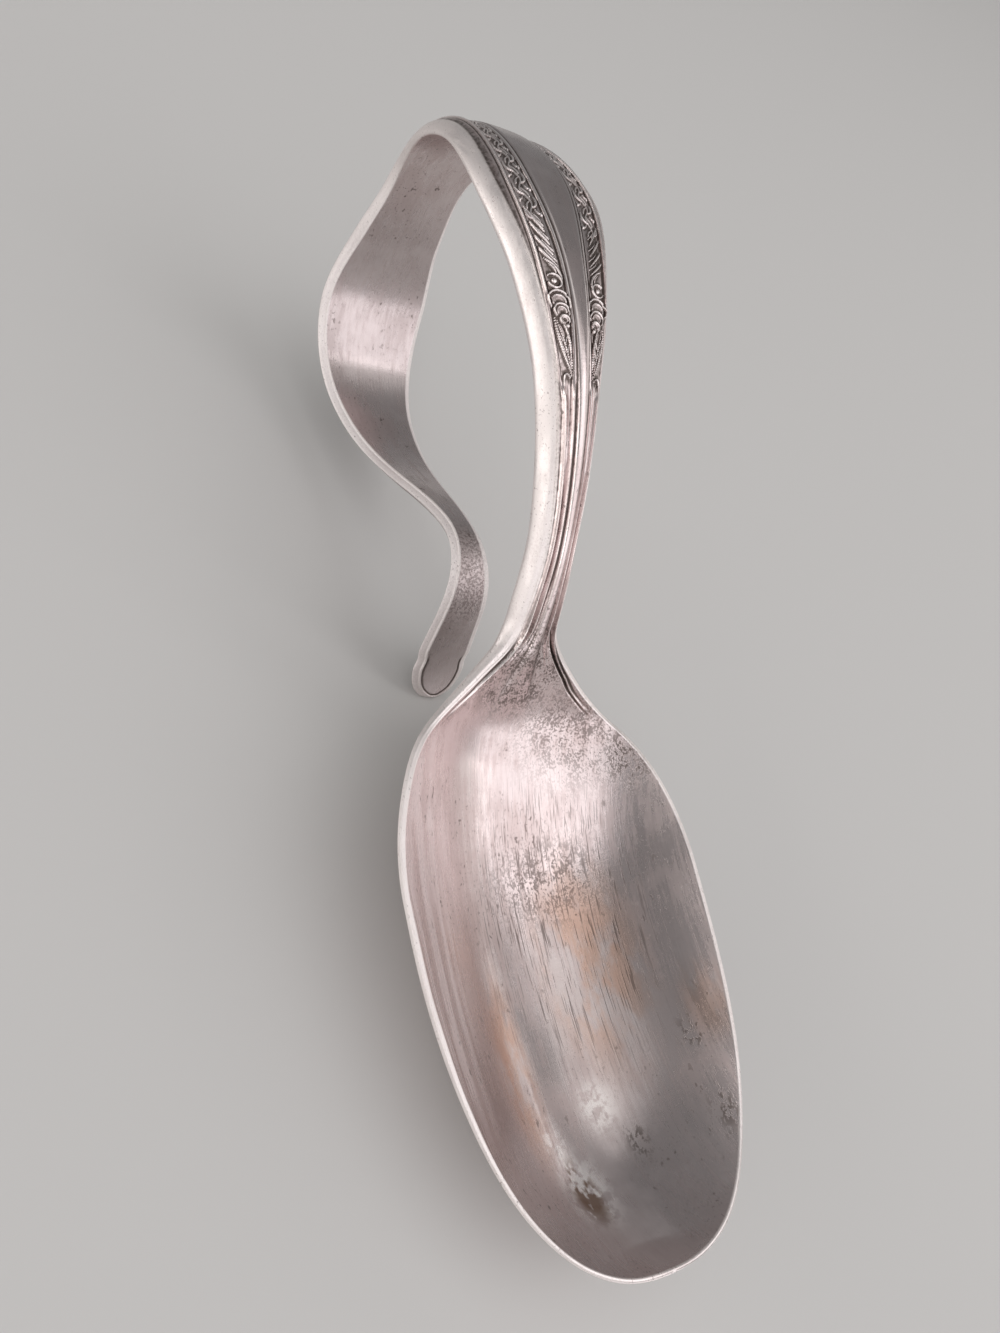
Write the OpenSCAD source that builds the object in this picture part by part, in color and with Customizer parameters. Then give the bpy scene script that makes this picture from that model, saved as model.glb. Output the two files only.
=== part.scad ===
// Bent-handle baby spoon: one strip of silver-plated metal, struck with a ridged and bordered
// handle, dished into a bowl at one end and bent back under itself into a finger loop.
// It stands on the underside of the bowl and on the tip of the loop.
// +X runs towards the bowl's tip, +Y across the spoon and +Z up.
// Each region of the strip is a node, and neighbours meet face to face on a shared cross-section.

/* [Bowl] */
// Length of the bowl's mouth, from its joint with the neck to its tip
mouth_len = 44.3; // [36:0.1:56]
// Width of the bowl's mouth at its widest
mouth_w = 28; // [22:0.5:36]
// Depth of the bowl below its rim at the deepest point
bowl_depth = 8.5; // [5:0.25:12]
// Width of the bowl's mouth at its joint with the neck
joint_w = 8.2; // [6:0.2:11]
// Depth of the dished face at the joint
joint_dish = 0.5; // [0.2:0.05:1]
// Height of the rim at the joint, above the level of the rim
joint_rise = 1.1; // [0:0.1:1.8]
// How far the rim dips below level at the bowl's shoulders
rim_sag = 1; // [0:0.1:1.6]
// How far the rim rises at the bowl's tip
tip_rise = 1.25; // [0:0.05:3]
// Thickness of the bowl's wall
bowl_wall = 0.6; // [0.5:0.05:1.2]

/* [Handle lengths] */
// Neck, from the bowl to the narrow stem
neck_len = 5; // [3:0.1:7]
// Plain ridged stem
stem_len = 7.9; // [5:0.1:12]
// Reeded stretch where the stem starts to widen
reed_len = 10.9; // [7:0.1:15]
// Stretch that flares into the decorated panel
flare_len = 8.3; // [6:0.1:12]
// Brow, the widest stretch of the panel
brow_len = 9; // [6:0.5:13]
// Crown, where the handle turns over
crown_len = 12; // [9:0.5:15]
// Nape, where the handle starts down
nape_len = 8.7; // [6:0.1:12]
// Straight back of the finger loop
back_len = 6; // [4:0.5:9]
// Heel, where the back starts to turn under
heel_len = 8; // [6:0.5:11]
// Floor of the loop, its lowest bend
floor_len = 13.1; // [10:0.1:17]
// Rising stretch below the fingers
rise_len = 18; // [14:0.5:23]
// Crest of the curl, where the strip turns down again
crest_len = 9.4; // [7:0.2:13]
// Tip, down to the rounded end
tip_len = 9.8; // [7:0.2:13]

/* [Handle slopes] */
// Slope at the joint, in degrees up from straight back
joint_slope = 43; // [36:1:52]
// Slope at the end of the neck
neck_slope = 50; // [40:1:60]
// Slope at the end of the stem
stem_slope = 38; // [30:1:46]
// Slope at the end of the reeded stretch
reed_slope = 23; // [15:1:30]
// Slope at the end of the flare
flare_slope = 9; // [2:1:16]
// Slope at the end of the brow, already falling
brow_slope = -10; // [-18:1:-2]
// Slope at the end of the crown
crown_slope = -48; // [-58:1:-36]
// Slope at the end of the nape
nape_slope = -98; // [-104:1:-84]
// Slope at the end of the back, past straight down
back_slope = -103; // [-110:1:-96]
// Slope at the end of the heel
heel_slope = -127; // [-138:1:-116]
// Slope at the end of the floor, forward and up
floor_slope = -196; // [-205:1:-186]
// Slope at the end of the rise
rise_slope = -208; // [-218:1:-198]
// Slope at the end of the crest, forward and down
crest_slope = -123; // [-136:1:-112]
// Slope at the end of the tip
tip_slope = -130; // [-142:1:-118]

/* [Handle widths] */
// Width at the end of the neck
neck_w = 4.3; // [3.6:0.1:6]
// Width at the end of the stem, its narrowest
stem_w = 3.7; // [3:0.1:5]
// Width at the end of the reeded stretch
reed_w = 4.9; // [3.6:0.1:6.5]
// Width at the end of the flare
flare_w = 7.8; // [5.5:0.1:10]
// Width at the end of the brow
brow_w = 11.3; // [8:0.1:14]
// Width at the end of the crown
crown_w = 8.7; // [7:0.1:11]
// Width at the end of the nape
nape_w = 7.7; // [6:0.1:11]
// Width at the end of the back
back_w = 9; // [7:0.2:11]
// Width at the end of the heel
heel_w = 11.3; // [8:0.1:14]
// Width at the end of the floor
floor_w = 7.9; // [6:0.1:11]
// Width at the end of the rise, the narrow waist of the curl
rise_w = 3.1; // [2.6:0.1:5]
// Width at the end of the crest
crest_w = 4.4; // [3.2:0.1:6.5]
// Width of the tip at its shoulders
tip_w = 5.9; // [4:0.1:8]

/* [Handle thickness] */
// Thickness of the metal at the joint with the bowl
joint_t = 1.05; // [0.8:0.05:1.6]
// Thickness at the end of the neck
neck_t = 1.65; // [1.2:0.05:2.3]
// Thickness along the stem
stem_t = 1.8; // [1.3:0.05:2.5]
// Thickness at the brow
brow_t = 1.6; // [1.2:0.05:2.2]
// Thickness at the end of the back
back_t = 1.4; // [1:0.05:2]
// Thickness from the floor of the loop to the tip
curl_t = 0.95; // [0.8:0.05:1.5]

/* [Relief] */
// Height of the rounded rib along the stem
rib_h = 0.34; // [0.1:0.02:0.6]
// Height of the plain panel's crown
panel_h = 0.1; // [0.04:0.02:0.3]
// Height of the raised border threads
thread_h = 0.18; // [0.06:0.02:0.3]
// Rounding of the strip's long edges
edge_r = 0.2; // [0.1:0.02:0.35]
// Depth of the notch behind each shoulder of the tip
notch_d = 0.3; // [0.1:0.05:0.6]

/* [Hidden] */

// Distance between neighbouring cross-sections along the handle
ring_step = 1.9;
// Cross-sections along the bowl, the power that draws them closer near the joint, and the small
// step used for slopes
bowl_rings = 30;
ring_power = 1.25;
slope_step = 0.001;
// Power of the bowl's cross-section, a little fuller than a parabola
dish_power = 2.2;
// Where along the mouth it is widest, and the powers of its oval outline behind and ahead of there
widest_share = 0.37;
shoulder_power = 1.95;
nose_power = 2.45;
// Depth of the keel, as shares of the bowl's depth at shares of its length
keel_shares = [[0.038, 0.14], [0.146, 0.64], [0.309, 0.94], [0.5, 1], [0.691, 0.93],
               [0.854, 0.73], [0.962, 0.3], [1, 0]];
// Height of the rim at shares of its length, as shares of the dip and of the rise at the tip
rim_shares = [[0.03, -1, 0], [0.09, -0.85, 0], [0.18, -0.45, 0], [0.3, -0.4, 0], [0.5, -0.3, 0],
              [0.7, 0, 0.04], [0.85, 0, 0.28], [1, 0, 1]];
// Share of the bowl's length over which the neck's thickness and lean die away
fade_share = 0.32;
// Places across half the bowl, as shares of its half-width
across_shares = [0, 0.13, 0.26, 0.38, 0.5, 0.61, 0.71, 0.8, 0.88, 0.95, 1];
// Half-width of the rib or plain panel, as shares of the strip's at the end of each region
rib_neck_share = 0.24;
rib_stem_share = 0.26;
rib_flare_share = 0.25;
rib_brow_share = 0.38;
rib_back_share = 0.45;
// Places from the rib's foot to the edge: valley, inner thread, band, outer thread, edge rounding
band_shares = [0.12, 0.22, 0.32, 0.62, 0.72, 0.82, 0.92];
// Height of the rib at half its width
rib_fall_share = 0.75;
// Where the tip's shoulders stand along it, and the length of the notch behind them
shoulder_share = 0.5;
notch_share = 0.07;
// The rounded end stops this far round its quarter turn, in degrees
end_turn = 80;
end_rings = 6;

// Regions of the handle: length, slope, width, thickness, rib width share and rib height at each end
regions = [
    [neck_len, neck_slope, neck_w, neck_t, rib_neck_share, rib_h],
    [stem_len, stem_slope, stem_w, stem_t, rib_stem_share, rib_h],
    [reed_len, reed_slope, reed_w, stem_t, rib_stem_share, rib_h],
    [flare_len, flare_slope, flare_w, stem_t, rib_flare_share, panel_h],
    [brow_len, brow_slope, brow_w, brow_t, rib_brow_share, panel_h],
    [crown_len, crown_slope, crown_w, brow_t, rib_brow_share, panel_h],
    [nape_len, nape_slope, nape_w, brow_t, rib_back_share, panel_h],
    [back_len, back_slope, back_w, back_t, rib_back_share, panel_h],
    [heel_len, heel_slope, heel_w, curl_t, rib_back_share, panel_h],
    [floor_len, floor_slope, floor_w, curl_t, rib_back_share, panel_h],
    [rise_len, rise_slope, rise_w, curl_t, rib_back_share, panel_h],
    [crest_len, crest_slope, crest_w, curl_t, rib_back_share, panel_h],
    [tip_len, tip_slope, tip_w, curl_t, rib_back_share, panel_h]
];

// Smooth curve through a table of [place, value] rows
function row(table, x, i = 0) = i >= len(table) - 2 || x < table[i + 1][0] ? i : row(table, x, i + 1);
function grade(table, i) =
    let (a = max(i - 1, 0), b = min(i + 1, len(table) - 1))
    (table[b][1] - table[a][1]) / (table[b][0] - table[a][0]);
function curve(table, x) =
    let (i = row(table, x), h = table[i + 1][0] - table[i][0], t = (x - table[i][0]) / h)
    (2 * t ^ 3 - 3 * t ^ 2 + 1) * table[i][1] + (t ^ 3 - 2 * t ^ 2 + t) * h * grade(table, i)
    + (3 * t ^ 2 - 2 * t ^ 3) * table[i + 1][1] + (t ^ 3 - t ^ 2) * h * grade(table, i + 1);
function mix(a, b, share) = a + (b - a) * share;
function unit(v) = v / norm(v);
// A list for one half of a cross-section, made whole: side -1 mirrors the values, side 1 repeats them
function whole(half, side) =
    concat([for (i = [len(half) - 1:-1:1]) side * half[i]], half);

// Arc lengths of the region ends, measured from the joint
function run(k) = k < 0 ? 0 : regions[k][0] + run(k - 1);
ends = [for (k = [-1:len(regions) - 1]) run(k)];
slope_table = concat([[0, joint_slope]], [for (k = [0:len(regions) - 1]) [ends[k + 1], regions[k][1]]]);
half_table = [for (k = [0:len(regions) - 1]) [ends[k + 1], regions[k][2] / 2]];
thick_table = concat([[0, joint_t]], [for (k = [0:len(regions) - 1]) [ends[k + 1], regions[k][3]]]);
rib_table = [for (k = [0:len(regions) - 1]) [ends[k + 1], regions[k][4]]];
crest_table = [for (k = [0:len(regions) - 1]) [ends[k + 1], regions[k][5]]];

// Arc lengths of the cross-sections in region k, both ends included
function steps(k) = max(2, round(regions[k][0] / ring_step));
function stations(k) = [for (i = [0:steps(k)]) mix(ends[k], ends[k + 1], i / steps(k))];
tip_region = len(regions) - 1;
shoulder = mix(ends[tip_region], ends[tip_region + 1], shoulder_share);
notch = shoulder + notch_share * tip_len;
end_run = ends[tip_region + 1] - notch;
tip_stations = concat([for (i = [0:2]) mix(ends[tip_region], shoulder, i / 2)], [notch],
                      [for (i = [1:end_rings]) notch + end_run * sin(i / end_rings * end_turn)]);
all_stations = concat([for (k = [0:tip_region - 1]) each [for (i = [0:steps(k) - 1]) stations(k)[i]]],
                      tip_stations);

// Centre line of the handle: [x, z] at each cross-section, stepped along the slope at mid-step
function ahead(s) = [-cos(curve(slope_table, s)), sin(curve(slope_table, s))];
joint_centre = [0, joint_rise - joint_dish] - [sin(joint_slope), cos(joint_slope)] * joint_t / 2
               - [tan(joint_slope), 0] * joint_dish;
centres = [for (i = 0, p = joint_centre; i < len(all_stations);
                p = p + ahead((all_stations[i] + all_stations[min(i + 1, len(all_stations) - 1)]) / 2)
                    * (all_stations[min(i + 1, len(all_stations) - 1)] - all_stations[i]), i = i + 1) p];
function first_ring(k) = [for (i = [0:len(all_stations) - 1]) if (all_stations[i] >= ends[k] - slope_step) i][0];

// Cross-section in the strip's own plane: [y, height] across the decorated face, then the plain face
function half_width(s) =
    s <= shoulder ? curve(half_table, s)
    : s <= notch ? tip_w / 2 - notch_d
    : (tip_w / 2 - notch_d / 2) * sqrt(1 - ((s - notch) / end_run) ^ 2);
function places(w, c) = concat([0, c / 2, c], [for (b = band_shares) mix(c, w, b)], [w]);
function heights(rib, scale) = [rib, rib * rib_fall_share, 0, 0, thread_h, 0, 0, thread_h, 0, 0, -edge_r] * scale;
function strip_ring(s) =
    let (w = half_width(s), t = curve(thick_table, s), fade = min(1, w / half_width(shoulder)),
         y = whole(places(w, w * curve(rib_table, s)), -1),
         n = whole(heights(curve(crest_table, s), s > shoulder ? fade : 1), 1),
         last = len(y) - 1)
    [[for (i = [0:last]) [y[i], t / 2 + n[i]]],
     [for (i = [0:last]) [y[i], -t / 2 + (i == 0 || i == last ? edge_r : 0)]]];

// Joint between the bowl and the neck: a shallow crescent
joint_across = whole(across_shares, -1) * joint_w / 2;
function joint_height(y) = joint_dish * abs(2 * y / joint_w) ^ dish_power / cos(joint_slope);
function joint_normal(y) =
    unit([-(joint_height(y + slope_step) - joint_height(y - slope_step)) / (2 * slope_step), 1]);
joint_ring = [[for (y = joint_across) [y, joint_t / 2 + joint_height(y)]],
              [for (y = joint_across) [y, joint_t / 2 + joint_height(y)] - joint_t * joint_normal(y)]];
function neck_ring(s) =
    let (t = s / neck_len, b = t * (2 - t), far = strip_ring(neck_len))
    [for (f = [0:1]) [for (i = [0:len(joint_across) - 1]) mix(joint_ring[f][i], far[f][i], b)]];

// A cross-section set at ring i of the handle, as points in space
function set_ring(i) =
    let (s = all_stations[i], a = curve(slope_table, s), r = s < neck_len ? neck_ring(s) : strip_ring(s))
    [for (f = r) [for (q = f) [centres[i][0] + q[1] * sin(a), q[0], centres[i][1] + q[1] * cos(a)]]];

// Bowl: its inner face at share f of a quarter turn from joint to tip, and share v across
function arc(t, power) = (1 - t ^ power) ^ (1 / power);
function mouth(u) =
    u < widest_share
    ? arc((1 - u / widest_share) * arc(joint_w / mouth_w, shoulder_power), shoulder_power)
    : arc((u - widest_share) / (1 - widest_share), nose_power);
function fade(u) = max(0, 1 - u / fade_share) ^ 3;
keel_table = concat([[0, joint_dish / bowl_depth]], keel_shares);
rim_table = concat([[0, joint_rise]], [for (r = rim_shares) [r[0], r[1] * rim_sag + r[2] * tip_rise]]);
function along(f) = sin(90 * f);
function inner(f, v) =
    let (u = along(f), drop = curve(keel_table, u) * bowl_depth * (1 - abs(v) ^ dish_power))
    [mouth_len * u - drop * tan(joint_slope) * fade(u),
     mouth_w / 2 * mouth(u) * v,
     curve(rim_table, u) - drop];
function wall(f) = mix(bowl_wall, joint_t, fade(along(f)));
function inner_normal(f, v) =
    unit(cross(inner(f + slope_step, v) - inner(f - slope_step, v),
               inner(f, v + slope_step) - inner(f, v - slope_step)));
function bowl_ring(k) =
    let (f = (k / bowl_rings) ^ ring_power, v = whole(across_shares, -1))
    k == 0 ? set_ring(0)
    : [[for (q = v) inner(f, q)], [for (q = v) inner(f, q) - wall(f) * inner_normal(f, q)]];
tip_inner = inner(1, 0);
tip_outer = tip_inner - bowl_wall * inner_normal(1 - 2 * slope_step, 0);

// Stand: the spoon pitches forward until the tip of the loop and the bowl's keel share one level
keel_points = [for (k = [1:bowl_rings - 1]) bowl_ring(k)[1][len(across_shares) - 1]];
foot_points = [for (i = [first_ring(tip_region):len(all_stations) - 1]) each set_ring(i)[0]];
foot_z = min([for (p = foot_points) p[2]]);
foot = [for (p = foot_points) if (p[2] == foot_z) p][0];
pitch = min([for (p = keel_points) atan2(p[2] - foot[2], p[0] - foot[0])]);
function pitched(p) = [p[0] * cos(pitch) + p[2] * sin(pitch), p[1], p[2] * cos(pitch) - p[0] * sin(pitch)];
handle_points = [for (i = [0:len(all_stations) - 1]) each set_ring(i)[0]];
back_x = min([for (p = handle_points) pitched(p)[0]]);
front_x = pitched(tip_outer)[0];
ground_z = min([for (p = concat(foot_points, keel_points)) pitched(p)[2]]);
function stand(p) = pitched(p) - [(back_x + front_x) / 2, 0, ground_z];

// Skin over a run of cross-sections, each a decorated face and a plain face of as many points
function corner(k, face, i, n) = (2 * k + face) * n + i;
function side_faces(rings, n) =
    [for (k = [0:rings - 2], i = [0:n - 2]) each [
        [corner(k, 0, i, n), corner(k, 0, i + 1, n), corner(k + 1, 0, i + 1, n)],
        [corner(k, 0, i, n), corner(k + 1, 0, i + 1, n), corner(k + 1, 0, i, n)],
        [corner(k, 1, i, n), corner(k + 1, 1, i + 1, n), corner(k, 1, i + 1, n)],
        [corner(k, 1, i, n), corner(k + 1, 1, i, n), corner(k + 1, 1, i + 1, n)]]];
function edge_faces(rings, n) =
    [for (k = [0:rings - 2]) each [
        [corner(k, 0, 0, n), corner(k + 1, 0, 0, n), corner(k + 1, 1, 0, n)],
        [corner(k, 0, 0, n), corner(k + 1, 1, 0, n), corner(k, 1, 0, n)],
        [corner(k, 0, n - 1, n), corner(k + 1, 1, n - 1, n), corner(k + 1, 0, n - 1, n)],
        [corner(k, 0, n - 1, n), corner(k, 1, n - 1, n), corner(k + 1, 1, n - 1, n)]]];
function cap_faces(k, n, turned) =
    [for (i = [0:n - 2]) each turned
        ? [[corner(k, 0, i, n), corner(k, 1, i + 1, n), corner(k, 0, i + 1, n)],
           [corner(k, 0, i, n), corner(k, 1, i, n), corner(k, 1, i + 1, n)]]
        : [[corner(k, 0, i, n), corner(k, 0, i + 1, n), corner(k, 1, i + 1, n)],
           [corner(k, 0, i, n), corner(k, 1, i + 1, n), corner(k, 1, i, n)]]];
function pole_faces(k, n, pole) =
    concat([for (i = [0:n - 2]) each [[corner(k, 0, i, n), corner(k, 0, i + 1, n), pole],
                                      [corner(k, 1, i + 1, n), corner(k, 1, i, n), pole + 1]]],
           [[corner(k, 0, 0, n), pole, pole + 1], [corner(k, 0, 0, n), pole + 1, corner(k, 1, 0, n)],
            [corner(k, 0, n - 1, n), pole + 1, pole],
            [corner(k, 0, n - 1, n), corner(k, 1, n - 1, n), pole + 1]]);
function flipped(faces) = [for (f = faces) [f[2], f[1], f[0]]];

module strip(first, last) {
    n = len(joint_across);
    rings = last - first + 1;
    points = [for (i = [first:last]) each [for (f = set_ring(i)) each [for (p = f) stand(p)]]];
    polyhedron(points, concat(side_faces(rings, n), edge_faces(rings, n),
                              cap_faces(0, n, true), cap_faces(rings - 1, n, false)));
}

module bowl() {
    n = len(joint_across);
    rings = [for (k = [0:bowl_rings - 1]) bowl_ring(k)];
    points = concat([for (r = rings) each [for (f = r) each [for (p = f) stand(p)]]],
                    [stand(tip_inner), stand(tip_outer)]);
    color("gainsboro")
        polyhedron(points, flipped(concat(side_faces(bowl_rings, n), edge_faces(bowl_rings, n),
                                          cap_faces(0, n, true),
                                          pole_faces(bowl_rings - 1, n, 2 * n * bowl_rings))));
}

module handle_neck() color("silver") strip(0, first_ring(1));
module handle_stem() color("darkgray") strip(first_ring(1), first_ring(3));
module handle_panel() color("lightgray") strip(first_ring(3), first_ring(5));
module loop_crown() color("silver") strip(first_ring(5), first_ring(7));
module loop_back() color("darkgray") strip(first_ring(7), first_ring(9));
module loop_base() color("lightgray") strip(first_ring(9), first_ring(10));
module loop_rise() color("silver") strip(first_ring(10), first_ring(11));
module loop_curl() color("darkgray") strip(first_ring(11), first_ring(12));
module loop_tip() color("lightgray") strip(first_ring(12), len(all_stations) - 1);

bowl();
handle_neck();
handle_stem();
handle_panel();
loop_crown();
loop_back();
loop_base();
loop_rise();
loop_curl();
loop_tip();
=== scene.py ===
import bpy
import numpy as np
from mathutils import Matrix, Vector


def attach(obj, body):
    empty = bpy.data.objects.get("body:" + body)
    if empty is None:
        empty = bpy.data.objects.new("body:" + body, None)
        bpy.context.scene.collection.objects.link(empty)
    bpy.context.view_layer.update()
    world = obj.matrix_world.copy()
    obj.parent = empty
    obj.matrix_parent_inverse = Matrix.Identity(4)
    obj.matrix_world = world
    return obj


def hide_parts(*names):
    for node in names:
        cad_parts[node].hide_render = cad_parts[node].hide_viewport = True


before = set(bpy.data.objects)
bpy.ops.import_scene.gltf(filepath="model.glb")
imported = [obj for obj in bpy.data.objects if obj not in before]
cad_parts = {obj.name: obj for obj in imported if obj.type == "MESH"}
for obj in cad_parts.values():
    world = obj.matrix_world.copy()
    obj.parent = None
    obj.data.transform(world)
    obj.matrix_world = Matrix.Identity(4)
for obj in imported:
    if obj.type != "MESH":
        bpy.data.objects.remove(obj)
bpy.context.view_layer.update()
print("frame loaded:", len(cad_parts), "nodes")

# Shapes are worked out in millimetres with the bowl's rim level and the joint at the origin, then
# pitched until the spoon stands on its bowl and on the tip of its loop
metre = 0.001

# The bowl, from the joint to its tip: keel is (share of the length, share of the depth), and rim is
# (share of the length, share of the sag, share of the tip's rise)
bowlShape = dict(
    length=44.3, width=28.0, depth=8.5, wall=0.6, rimRound=0.2, rimCrown=0.07,
    jointWidth=8.2, jointDish=0.5, jointRise=1.1, rimSag=1.0, tipRise=1.25, widestShare=0.37,
    shoulderPower=1.95, nosePower=2.45, dishPower=2.2, fadeShare=0.32, wornTip=0.45, wornRun=(0.45, 0.97),
    keel=[(0.038, 0.14), (0.146, 0.64), (0.309, 0.94), (0.5, 1), (0.691, 0.93), (0.854, 0.73),
          (0.962, 0.3), (1, 0)],
    rim=[(0.03, -1, 0), (0.09, -0.85, 0), (0.18, -0.45, 0), (0.3, -0.4, 0), (0.5, -0.3, 0),
         (0.7, 0, 0.04), (0.85, 0, 0.28), (1, 0, 1)],
    rings=240, normalLimit=0.9985)

# The handle. Each region of the strip, at its end: length, slope, width, thickness, share of the width
# that the rib or plain panel takes, height of the rib or panel. The other tables are (arc length from
# the joint, value): how much the sides bulge, how much wider the plain face is than the decorated one,
# how far the decorated face leans to the right, and how much it swells. Flare and bulge shrink where
# the strip is under narrowHalf, and the faces are trimmed for the bulge on the neck and on the loop
handleShape = dict(
    jointSlope=43.0, jointThick=1.05, edgeRound=0.18,
    sideCrown=[(0, 0.16), (3, 0.28), (10, 0.28), (18, 0.14), (52, 0.14), (64, 0.26), (84, 0.16),
               (122, 0.16)],
    flare=[(0, 0), (5, 0.38), (10, 0.4), (15, 0.34), (41, 0.36), (53, 0.38), (60, 0.0), (68, -0.42),
           (84, -0.5), (122, -0.52)],
    lean=[(0, 0), (4, 0.2), (14, 0.26), (24, 0.3), (50, 0.22), (62, 0.1), (76, 0)],
    swell=[(0, 0), (5, 0.15), (14, 0.25), (24, 0.42), (41, 0.5), (53, 0.36), (62, 0.2), (76, 0.05),
           (122, 0.03)],
    regions=[(5, 50, 4.3, 1.65, 0.22, 0.34), (7.9, 38, 3.8, 1.8, 0.21, 0.36),
             (10.9, 23, 5.2, 1.8, 0.22, 0.34), (8.3, 9, 8.1, 1.8, 0.26, 0.12),
             (9, -10, 11.3, 1.6, 0.37, 0.1), (12, -48, 8.7, 1.6, 0.37, 0.1),
             (8.7, -98, 7.7, 1.6, 0.4, 0.1), (6, -103, 9, 1.4, 0.45, 0.1),
             (8, -127, 11.3, 0.95, 0.45, 0.1), (13.1, -196, 7.9, 0.82, 0.45, 0.1),
             (18, -208, 3.1, 0.72, 0.45, 0.1), (9.4, -123, 4.5, 0.66, 0.45, 0.1),
             (9.8, -130, 5.9, 0.66, 0.45, 0.1)],
    shoulderShare=0.47, notchShare=0.13, notchDepth=0.24, notchFill=0.6, fillLength=1.0,
    tipPower=2.7, tipRoot=2.2, narrowHalf=1.2, spareShare=0.55,
    neckTrim=0.7, neckTrimRun=(10, 18), loopTrimRun=(52, 64))

# Pieces along the handle: name, CAD node, first and last region, distance between rings. The tip's
# rings are counted before and after its notch
handlePieces = [
    ("neck", "handle_neck", 0, 0, 0.11), ("stem", "handle_stem", 1, 2, 0.11),
    ("panel", "handle_panel", 3, 4, 0.065), ("crown", "loop_crown", 5, 6, 0.08),
    ("back", "loop_back", 7, 8, 0.2), ("base", "loop_base", 9, 9, 0.2),
    ("rise", "loop_rise", 10, 10, 0.2), ("curl", "loop_curl", 11, 11, 0.2),
    ("tip", "loop_tip", 12, 12, None)]
tipRings = 84, 64

# Points across a ring: the decorated face's, the plain face's (one in plainStep, but all near the
# edges) and each side's. Denser is (how much more, from, to) in shares of the half-width
acrossPoints = dict(face=201, plainStep=4, fineEdge=14, side=9,
                    sparse=0.6, denser=[(0.9, 0.25, 0.4), (2.6, 0.93, 1)])


def sinD(angle):
    return np.sin(np.radians(angle))


def cosD(angle):
    return np.cos(np.radians(angle))


# Straight mix of a and b
def mix(a, b, share):
    return a + (b - a) * share


# 0 below low, 1 above high, and 3t^2 - 2t^3 between them
def easeIn(x, low, high):
    t = np.clip((x - low) / (high - low), 0, 1)
    return t * t * (3 - 2 * t)


# A bump of height 1 and half-width 1: the cosine of a quarter turn at 1, squared
def bump(x):
    return np.cos(np.pi / 2 * np.clip(x, -1, 1)) ** 2


def unitRows(vectors):
    return vectors / np.maximum(1e-12, np.linalg.norm(vectors, axis=-1, keepdims=True))


# Smooth curve through a table of (place, value) rows: cubic pieces whose slope at each row is that of
# the line through its two neighbours
def curveThrough(table, x):
    place, value = np.asarray(table, float).T
    slope = np.gradient(value)
    slope[1:-1] = (value[2:] - value[:-2]) / (place[2:] - place[:-2])
    slope[0] = (value[1] - value[0]) / (place[1] - place[0])
    slope[-1] = (value[-1] - value[-2]) / (place[-1] - place[-2])
    x = np.asarray(x, float)
    i = np.clip(np.searchsorted(place, x, side="right") - 1, 0, len(place) - 2)
    gap = place[i + 1] - place[i]
    t = (x - place[i]) / gap
    return ((2 * t**3 - 3 * t**2 + 1) * value[i] + (t**3 - 2 * t**2 + t) * gap * slope[i]
            + (3 * t**2 - 2 * t**3) * value[i + 1] + (t**3 - t**2) * gap * slope[i + 1])


# Straight lines through a table of (place, value) rows
def linesThrough(table, x):
    return np.interp(x, *np.array(table, float).T)


bs, hs = bowlShape, handleShape
(regionLength, regionSlope, regionWidth, regionThick,
 regionRib, regionCrest) = np.array(hs["regions"], float).T
ends = np.r_[0, np.cumsum(regionLength)]
slopeTable = np.c_[ends, np.r_[hs["jointSlope"], regionSlope]]
halfTable = np.c_[ends[1:], regionWidth / 2]
thickTable = np.c_[ends, np.r_[hs["jointThick"], regionThick]]
ribTable, crestTable = np.c_[ends[1:], regionRib], np.c_[ends[1:], regionCrest]
keelTable = [(0, bs["jointDish"] / bs["depth"])] + bs["keel"]
rimTable = [(0, bs["jointRise"])]
rimTable += [(u, sag * bs["rimSag"] + rise * bs["tipRise"]) for u, sag, rise in bs["rim"]]
neckEnd, tipStart, tipEnd = ends[1], ends[-2], ends[-1]
tipShoulder = mix(tipStart, tipEnd, hs["shoulderShare"])
tipNotch = tipShoulder + hs["notchShare"] * (tipEnd - tipStart)
jointSin, jointCos = sinD(hs["jointSlope"]), cosD(hs["jointSlope"])

# Centre line of the strip in the x-z plane: the slope summed up along the arc length
fineRun = np.linspace(0, tipEnd, 20001)
fineSlope = curveThrough(slopeTable, (fineRun[1:] + fineRun[:-1]) / 2)
fineX = np.r_[0, np.cumsum(-cosD(fineSlope) * np.diff(fineRun))] \
    - jointSin * hs["jointThick"] / 2 - jointSin / jointCos * bs["jointDish"]
fineZ = np.r_[0, np.cumsum(sinD(fineSlope) * np.diff(fineRun))] \
    + bs["jointRise"] - bs["jointDish"] - jointCos * hs["jointThick"] / 2


# Half-width of the strip: the width table less a notch behind the tip's shoulders, which fills up
# again in part, and then an end that closes as 1 minus a power of the share of the way
def halfWidth(s):
    tipHalf, notch = curveThrough(halfTable, tipNotch), hs["notchDepth"]
    w = curveThrough(halfTable, np.clip(s, neckEnd, tipEnd)) - notch * easeIn(s, tipShoulder, tipNotch)
    turn = np.clip((s - tipNotch) / (tipEnd - tipNotch), 0, 1)
    beyond = tipHalf - notch * (1 - hs["notchFill"] * easeIn(s, tipNotch, tipNotch + hs["fillLength"]))
    return np.where(s > tipNotch, beyond * (1 - turn ** hs["tipPower"]) ** (1 / hs["tipRoot"]), w)


# A quarter of a rounded oval: the height at t, where t to the power and the height to the power add to 1
def oval(t, power):
    return np.maximum(0, 1 - np.maximum(0, t)**power) ** (1 / power)


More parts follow.
